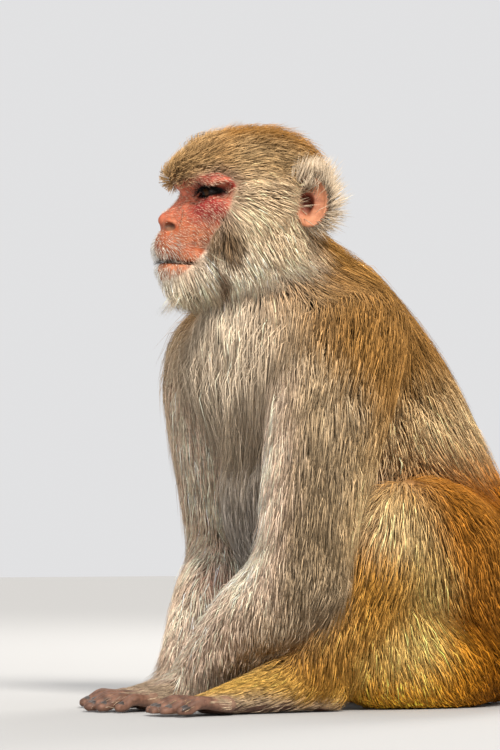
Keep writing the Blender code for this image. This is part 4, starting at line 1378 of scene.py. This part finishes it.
def nail_verts(end, centre, along, r, wide, long):
    """A curved plate on top of a digit's end: across u, along v, two skins thick."""
    U, V = np.meshgrid(np.linspace(-1, 1, 9), np.linspace(0, 1, 8))
    u, v = U.ravel(), V.ravel()
    across = np.array([-along[1], along[0], 0.0])
    half = wide * (0.92 - 0.42 * np.clip(v - 0.55, 0, 1) ** 1.3)
    a = (v - 0.42) * long
    arch = np.sqrt(np.maximum(1 - (u * 0.86) ** 2, 0.02))
    top = r * (arch * 1.0) + 0.25 - 3.6 * np.clip(v - 0.3, 0, 1) ** 1.5
    pts = centre + across * (u * half)[:, None] + along * a[:, None] + np.array([0, 0, 1.0]) * top[:, None]
    low = pts - np.array([0, 0, 1.0]) * (0.75 + 0.4 * (1 - v))[:, None] - across * (u * 0.5)[:, None]
    return end.outer(np.vstack([pts, low]))


def nail_faces():
    n, m = 9, 8
    F = []
    top = lambda i, j: j * n + i
    low = lambda i, j: n * m + j * n + i
    for j in range(m - 1):
        for i in range(n - 1):
            F.append((top(i, j), top(i + 1, j), top(i + 1, j + 1), top(i, j + 1)))
            F.append((low(i, j), low(i, j + 1), low(i + 1, j + 1), low(i + 1, j)))
    for j in range(m - 1):
        F.append((top(0, j), top(0, j + 1), low(0, j + 1), low(0, j)))
        F.append((top(n - 1, j), low(n - 1, j), low(n - 1, j + 1), top(n - 1, j + 1)))
    for i in range(n - 1):
        F.append((top(i, 0), low(i, 0), low(i + 1, 0), top(i + 1, 0)))
        F.append((top(i, m - 1), top(i + 1, m - 1), low(i + 1, m - 1), low(i, m - 1)))
    return np.array(F)


def make_nails(end, material):
    base, V, F = nail_faces(), [], []
    spots = []
    for root, length, splay, r, arch in end.rows:
        c, s = math.cos(math.radians(splay)), math.sin(math.radians(splay))
        along = np.array([s, -c, 0.0])
        spots.append((np.array([root[0], root[1], 0.0]) + along * length * 0.87 + np.array([0, 0, r * 0.86]), along, r * 0.86))
    a, b = np.array(end.thumb[-2][:3], float), np.array(end.thumb[-1][:3], float)
    along = unit((b - a) * np.array([1, 1, 0]))
    r = end.thumb[-1][3]
    spots.append((b + along * 1.2, along, r * 0.88))
    for k, (centre, along, r) in enumerate(spots):
        V.append(nail_verts(end, centre, along, r, r * 0.84, 6.6 if end.kind == "hand" else 7.2))
        F.append(base + k * 144)
    V, F = np.vstack(V), np.vstack(F)
    V[:, 2] = np.maximum(V[:, 2], 0.3)
    if end.s < 0:
        F = F[:, ::-1]
    me = make_mesh("nails_" + end.name, to_world(V), F)
    bm = bmesh.new()
    bm.from_mesh(me)
    bmesh.ops.recalc_face_normals(bm, faces=bm.faces)
    bm.to_mesh(me)
    bm.free()
    me.shade_smooth()
    o = new_object("nails_" + end.name, me)
    me.materials.append(material)
    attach(o, "root")
    return o


def make_pad(s, material):
    bm = bmesh.new()
    bmesh.ops.create_icosphere(bm, subdivisions=5, radius=1.0)
    for v in bm.verts:
        v.co = Vector((24 * s + v.co.x * 15.4, 44 + v.co.y * 20.4, max(0.02, 5 + v.co.z * 9.2)))
        v.co = Vector(to_world(np.array(v.co)))
    me = bpy.data.meshes.new("pad")
    bm.to_mesh(me)
    bm.free()
    me.shade_smooth()
    name = "left" if s > 0 else "right"
    o = new_object("pad_" + name, me)
    me.materials.append(material)
    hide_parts("sitting_pad_" + name)
    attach(o, "root")
    return o


# ==== BUILD
FLESH = ["head", "neck", "thorax", "abdomen", "tail"] + [f"{k}_{s}" for s in ("left", "right") for k in
        ("ear", "upper_arm", "forearm", "hand", "thigh", "shin", "foot")]
BUDGET = 143000


def chest_front(s):
    """Where the loose long hair of the chest and throat grows."""
    return (step(-0.05, -0.5, s.n[:, 1]) * step(150, 200, s.p[:, 2]) * (s.w["trunk"] + s.w["breast"] + 0.7 * s.w["neck"])).astype(np.float32)


def lashes(rng):
    """Roots, directions and lengths of the lashes of both eyes, in the animal's frame."""
    R, D, L = [], [], []
    for sd in (1, -1):
        for upper, count, low, high in ((True, 230, 7.5, 12.5), (False, 120, 3.0, 5.5)):
            turn = rng.uniform(-0.9, 1.32, count)
            lz = lid_edges(turn)[0 if upper else 1] + (0.4 if upper else -0.4) + rng.normal(0, 0.3, count)
            flat_r = np.sqrt((EYE_R + 1.5) ** 2 - lz * lz)
            em = np.stack([np.sin(turn) * flat_r, -np.cos(turn) * flat_r, lz], 1)
            out = unit(em) * 0.7 + np.stack([0.30 + 0 * lz, 0.15 + 0 * lz, (-0.42 if upper else -0.25) + rng.normal(0, 0.14, count)], 1)
            for table, v in ((R, em), (D, out)):
                e = v @ LOOK.T
                if table is R:
                    e = e + EYE_AT
                e = e * np.array([sd, 1, 1])
                table.append(out_of_head(e) if table is R else e @ HEAD_TURN.T)
            L.append(rng.uniform(low, high, count))
    return np.vstack(R).astype(np.float32), unit(np.vstack(D)).astype(np.float32), np.concatenate(L).astype(np.float32)


def build_coat(skin, s, coat, readers):
    rng = np.random.default_rng(20261)
    me = skin.data
    n = len(s.p)
    # how many tufts per square millimetre, and how wide they are
    dens = np.full(n, 0.30, np.float32)
    dens = np.where(s.head > 0.5, 0.98, dens)
    dens = dens + (0.50 - dens) * np.clip(s.w["neck"] * 1.3, 0, 1) * (s.head < 0.5)
    dens = dens + (0.36 - dens) * (s.forearm + s.upper_arm) * (s.head < 0.3)
    front = step(-0.1, -0.5, s.n[:, 1]) * (s.w["trunk"] + s.w["breast"]) * step(180, 230, s.p[:, 2])
    dens = dens + (0.42 - dens) * front
    dens = np.where(s.in_mask > 0.5, 0.50, dens)
    dens = dens + (0.85 - dens) * step(0.2, 0.8, s.hand + s.foot)
    dens = np.where(s.ear > 0.4, 0.75, dens)
    open_air = skin_field((s.p + s.n * 26).astype(np.float32))                # hidden folds need little
    dens = dens * (0.35 + 0.65 * step(4, 20, open_air))
    dens = dens * step(1.0, 5.0, s.p[:, 2] + 4 * (s.n[:, 2] > -0.3))          # none where it sits or stands
    # bare places
    bare = np.zeros(n, np.float32)
    e = s.a - EYE_AT
    er = np.sqrt((e * e).sum(1))
    bare = np.maximum(bare, step(EYE_R + 5.5, EYE_R + 3.0, er) * (e[:, 1] < 4))
    bare = np.maximum(bare, blob(s.a, (3, -69, -18), (11, 10, 10)) * s.head)
    bare = np.maximum(bare, blob(s.a, (11, -65, -21), (11, 10, 8)) * s.head)
    ear_rel = (s.a - EAR_AT) @ EAR_TURN
    bare = np.maximum(bare, s.ear * blob(ear_rel, (-2, -4, -2), (13, 12, 14)))
    bare = np.maximum(bare, s.ear * step(-0.5, 2.0, ear_rel[:, 0]) * step(1.25, 0.85, np.sqrt(((ear_rel[:, 1] + 4.0) / 10.5) ** 2 + ((ear_rel[:, 2] + 4.0) / 13.0) ** 2)) * step(9, 3, ear_rel[:, 2]) * 0.95)
    bare = np.maximum(bare, s.head * step(1.2, 0.2, np.abs(s.a[:, 2] + 48.5)) * step(-40, -46, s.a[:, 1]))
    bare = np.maximum(bare, 0.72 * s.thin)
    tips = s.bare_end
    bare = np.maximum(bare, tips * 0.96)
    for sd in (1, -1):                                                        # sitting pads
        bare = np.maximum(bare, step(1.15, 0.95, np.sqrt(((s.p[:, 0] - 24 * sd) / 15) ** 2 + ((s.p[:, 1] - 44) / 20) ** 2)) * (s.p[:, 2] < 16))
    want = dens * (1 - bare)
    area_scale = 1.0
    t, B = plant(me, s, want, np.random.default_rng(7))
    if len(t) > BUDGET or len(t) < BUDGET * 0.8:
        want *= BUDGET * 0.985 / len(t)
        t, B = plant(me, s, want, np.random.default_rng(7))
    N = len(t)
    say("roots", N)
    root, n0 = blend3(s.p, t, B), unit(blend3(s.n, t, B))
    d = flat(blend3(s.flow, t, B), n0)
    depth, length, colour = blend3(s.depth, t, B), blend3(s.length, t, B), blend3(coat, t, B)
    head, mask, ear = blend3(s.head, t, B), blend3(s.in_mask, t, B), blend3(s.ear, t, B)
    ends = blend3(s.hand + s.foot, t, B)
    # wander of the lie: broad waves, then each tuft's own
    turn = 0.11 * waves(root, 34, 21) + 0.08 * waves(root, 12, 22) + rng.normal(0, 0.10, N).astype(np.float32)
    turn = turn * (1 - 0.5 * np.clip(head, 0, 1)) * (1 + 0.8 * ear)
    side = np.cross(n0, d)
    d = unit(d * np.cos(turn)[:, None] + side * np.sin(turn)[:, None])
    share = rng.random(N).astype(np.float32)
    longer = 1.62 - 0.62 * np.clip(head + ends, 0, 1)
    length = longer * length * (0.70 + 0.42 * rng.random(N).astype(np.float32)) * (1 + 0.08 * waves(root, 16, 23))
    lift = 0.66 + 0.40 * share
    wispy = blend3(chest_front(s), t, B)
    stray = rng.random(N) < 0.07 + 0.14 * wispy
    lift = np.where(stray, lift * (1.2 + 0.5 * wispy), lift)
    length = np.where(stray, length * (1.15 + 0.25 * wispy), length) * (1 + 0.12 * wispy)
    spiky = blend3(step(-30, -46, s.a[:, 1]) * step(6, 16, s.a[:, 2]) * s.head, t, B)
    lift = lift * (1 + 0.15 * spiky)
    crest = blend3(step(26, 40, s.a[:, 2]) * s.head, t, B)
    raised = rng.random(N) < 0.22 * crest
    lift = np.where(raised, lift * 1.45, lift * (1 + 0.06 * crest))
    free = blend3(np.maximum(s.ear * 0.9, s.head * np.maximum(0.75 * step(-46, -56, s.a[:, 2]) * step(-20, -32, s.a[:, 1]),
                             0.6 * s.in_mask * step(-54, -64, s.a[:, 1]) * step(-26, -36, s.a[:, 2]))), t, B)
    free = np.maximum(free, 0.18 * spiky)
    width = 0.70 * np.clip(0.55 + length / 70, 0.5, 1.1)
    width = width + (0.54 - width) * np.clip(head * 1.1, 0, 1)
    width = width + (0.36 - width) * np.clip(mask, 0, 1)
    width = width + (0.50 - width) * np.clip(ends, 0, 1)
    width = width * (0.75 + 0.5 * rng.random(N).astype(np.float32))
    bend = (side * rng.normal(0, 0.22, N)[:, None] + np.array([0, 0, -0.25])).astype(np.float32)
    bend = bend * (1 - 0.8 * ear)[:, None]
    hanging = blend3(step(-44, -54, s.a[:, 2]) * step(-18, -34, s.a[:, 1]) * s.head, t, B)
    bend[:, 2] -= 1.7 * hanging
    lift = lift * (1 - 0.25 * hanging)
    pts, nrm = lay(root, n0, d, length, depth, lift, bend, readers, free)
    # neighbouring tufts draw together towards their tips
    lead = np.flatnonzero(rng.random(N) < 1 / 11)
    tree = KDTree(len(lead))
    for i, p in enumerate(root[lead].tolist()):
        tree.insert(p, i)
    tree.balance()
    find = tree.find
    near = lead[np.array([find(p)[1] for p in root.tolist()])]
    pull = (0.14 + 0.20 * rng.random(N) + 0.15 * wispy) * (1 - 0.85 * np.clip(mask + ear, 0, 1))
    apart = np.linalg.norm(root[near] - root, axis=1)
    pull = (pull * step(9, 3, apart)).astype(np.float32)
    goal = pts[-1][near] - root[near] + root + (root[near] - root) * 0.75
    tip = pts[-1] + (goal - pts[-1]) * pull[:, None]
    f, g = readers(tip)
    tip = tip + g * np.maximum(0, depth * 0.25 - f)[:, None]
    pts[-1] = tip
    for k in range(1, len(pts)):
        pts[k][:, 2] = np.maximum(pts[k][:, 2], 0.8)
    # colour of each: lighter and darker hairs, some grey, some golden
    tone = np.exp(rng.normal(0, 0.20, N)).astype(np.float32) * (1 + 0.09 * waves(root, 7, 24))
    pale = blend3(step(0.26, 0.40, coat[:, 2:3] / np.maximum(coat[:, :1], 0.01))[:, 0], t, B)
    tone = np.where(rng.random(N) < 0.16 - 0.09 * pale, tone * (0.45 + 0.2 * pale), tone)
    tone = np.where(rng.random(N) < 0.09, tone * 1.25, tone)
    tone = tone * (0.80 + 0.30 * share) * (1 + 0.07 * pale)
    colour = colour * tone[:, None]
    grey = colour @ np.array([0.35, 0.5, 0.15], np.float32)
    colour = mix(colour, np.stack([grey * 1.10, grey, grey * 0.82], 1), (0.03 + 0.13 * pale) * rng.random(N).astype(np.float32))
    colour = np.clip(colour, 0.002, 0.95)
    region = region_of(s)[t[np.arange(N), B.argmax(1)]]
    thick = width * 0.28
    # unwrap of the skin under each piece
    low = skin.copy()
    low.data = skin.data.copy()
    bpy.context.scene.collection.objects.link(low)
    m = low.modifiers.new("thin", "DECIMATE")
    m.ratio = 0.07
    me_low = bpy.data.meshes.new_from_object(low.evaluated_get(bpy.context.evaluated_depsgraph_get()))
    bpy.data.objects.remove(low)
    me_low.calc_loop_triangles()
    tri = np.empty(len(me_low.loop_triangles) * 3, np.int32)
    me_low.loop_triangles.foreach_get("vertices", tri)
    tri = tri.reshape(-1, 3)
    lv = array_of(me_low.vertices, "co", 3)
    bpy.data.meshes.remove(me_low)
    centre = lv[tri].mean(1)
    tree = KDTree(N // 4 + 1)
    for i in range(0, N, 4):
        tree.insert(to_world(root[i]).tolist(), i)
    tree.balance()
    label = region[np.array([tree.find(c)[1] for c in centre.tolist()])]
    say("laid")
    materials = {"golden_coat": coat_material("golden_coat", 0.62, 0.22), "grey_brown_coat": coat_material("grey_brown_coat", 0.62, 0.20),
                 "pale_coat": coat_material("pale_coat", 0.84, 0.14)}
    slot_of = {"face": "pale_coat", "crown": "golden_coat", "cheeks": "pale_coat", "chest": "pale_coat", "back_left": "golden_coat",
               "back_right": "golden_coat", "arm_left": "grey_brown_coat", "arm_right": "grey_brown_coat", "leg_left": "golden_coat",
               "leg_right": "golden_coat"}
    world_root = to_world(root)
    for k, name in enumerate(REGION_NAMES):
        mine = np.flatnonzero(region == k)
        if not len(mine):
            continue
        unwrap = Unwrap(lv, tri[label == k])
        uv = unwrap.place(world_root[mine])
        if name == "face":
            R, D, L = lashes(rng)
            up = np.array([0, 0, 1], np.float32)
            line = [R, R + D * (L * 0.5)[:, None], R + D * L[:, None] + up * (L * 0.16)[:, None]]
            o = tuft_mesh("lashes", line, [flat(np.tile(up, (len(R), 1)), D)] * 3, np.full(len(R), 0.44, np.float32),
                          np.full(len(R), 0.13, np.float32), np.full((len(R), 3), 0.014, np.float32),
                          unwrap.place(to_world(R)), materials["pale_coat"])
            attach(o, "root")
        parts = -(-len(mine) // 19800)
        for j in range(parts):
            ids = mine[j::parts]
            title = "coat_" + name + ("" if parts == 1 else "_%d" % (j + 1))
            o = tuft_mesh(title, [q[ids] for q in pts], [q[ids] for q in nrm], width[ids], thick[ids], colour[ids], uv[j::parts], materials[slot_of[name]])
            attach(o, "root")
            say(title, len(ids))


def set_scene():
    bpy.ops.mesh.primitive_plane_add(size=14, location=(0, 0, -0.0004))
    floor = bpy.context.object
    floor.name = "floor"
    m, nt, bsdf = nodes_of("floor")
    bsdf.inputs["Base Color"].default_value = (0.41, 0.405, 0.397, 1)
    bsdf.inputs["Roughness"].default_value = 0.85
    floor.data.materials.append(m)
    sc = bpy.context.scene
    world = bpy.data.worlds.new("studio")
    sc.world = world
    world.use_nodes = True
    world.node_tree.nodes["Background"].inputs["Color"].default_value = (0.90, 0.90, 0.91, 1)
    world.node_tree.nodes["Background"].inputs["Strength"].default_value = 0.84

    def lamp(name, at, size, power, colour):
        d = bpy.data.lights.new(name, "AREA")
        d.shape, d.size, d.energy, d.color = "DISK", size, power, colour
        o = bpy.data.objects.new(name, d)
        sc.collection.objects.link(o)
        o.location = at
        o.rotation_mode = "QUATERNION"
        o.rotation_quaternion = (Vector((0, 0, 0.25)) - Vector(at)).to_track_quat("-Z", "Y")
    sun = bpy.data.lights.new("key", "SUN")
    sun.energy, sun.angle, sun.color = 4.4, 0.28, (1.0, 0.96, 0.90)
    o = bpy.data.objects.new("key", sun)
    sc.collection.objects.link(o)
    o.location = (2.0, -0.35, 1.9)
    o.rotation_mode = "QUATERNION"
    o.rotation_quaternion = Vector((-2.0, 0.35, -1.65)).to_track_quat("-Z", "Y")
    lamp("fill", (1.5, -2.4, 1.0), 1.8, 24, (0.95, 0.97, 1.0))
    lamp("rim", (-1.2, 1.6, 1.6), 0.9, 32, (1.0, 0.97, 0.93))
    sc.view_settings.view_transform = "Standard"
    cam = bpy.data.cameras.new("camera")
    o = bpy.data.objects.new("camera", cam)
    sc.collection.objects.link(o)
    target = Vector((-0.0627, -0.0542, 0.257))
    a, e = math.radians(60), math.radians(-2.3)
    back = Vector((math.sin(a) * math.cos(e), -math.cos(a) * math.cos(e), math.sin(e)))
    o.location = target + back * 3.0
    o.rotation_mode = "QUATERNION"
    o.rotation_quaternion = (-back).to_track_quat("-Z", "Y")
    cam.lens, cam.clip_end = 182.9, 100
    sc.camera = o


def main():
    set_scene()
    skin = build_skin()
    me = skin.data
    P = array_of(me.vertices, "co", 3) / MM + MIDDLE.astype(np.float32)
    nr = np.empty(len(me.vertices) * 3, np.float32)
    me.vertex_normals.foreach_get("vector", nr)
    s = survey(P, nr.reshape(-1, 3))
    # even out the lie, depth and length over the skin
    edges = np.empty(len(me.edges) * 2, np.int32)
    me.edges.foreach_get("vertices", edges)
    edges = edges.reshape(-1, 2)
    n = len(P)
    count = np.bincount(edges.ravel(), minlength=n)[:, None] + 1.0

    def spread(v, rounds):
        v = v.reshape(n, -1).astype(np.float64)
        for _ in range(rounds):
            out = v.copy()
            for k in range(v.shape[1]):
                out[:, k] += np.bincount(edges[:, 0], v[edges[:, 1], k], n) + np.bincount(edges[:, 1], v[edges[:, 0], k], n)
            v = out / count
        return v.astype(np.float32)
    s.flow = flat(spread(flat(s.flow, s.n), 40), s.n)
    s.depth, s.length = spread(s.depth, 3)[:, 0], spread(s.length, 3)[:, 0]
    coat = spread(coat_colour(s), 5)
    tint = skin_colour(s, coat)
    at = me.color_attributes.new("marking", "FLOAT_COLOR", "POINT")
    at.data.foreach_set("color", np.hstack([tint, np.ones((n, 1), np.float32)]).astype(np.float32).ravel())
    me.materials.clear()
    me.materials.append(skin_material())
    say("surveyed")
    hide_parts(*FLESH)
    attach(skin, "root")
    body = Reader(skin_field, (-170, -310, -14), (170, 250, 400), 6.0)
    head = Reader(lambda q: skin_field(out_of_head(q)), (-72, -88, -100), (72, 84, 70), 3.0, into_head, HEAD_TURN)

    def readers(p):
        p = p.astype(np.float32)
        f, g = body.read(p)
        q = into_head(p)
        m = np.all((q > np.array([-68, -84, -90])) & (q < np.array([68, 80, 66])), axis=1)
        if m.any():
            f2, g2 = head.read(p[m])
            f[m], g[m] = f2, g2
        return f, g
    build_coat(skin, s, coat, readers)
    eye, nail, pad = eye_material(), nail_material(), pad_material()
    for sd in (1, -1):
        make_eye(sd, eye)
        make_pad(sd, pad)
    for end in ENDED:
        make_nails(end, nail)


main()
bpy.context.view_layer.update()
say("done")
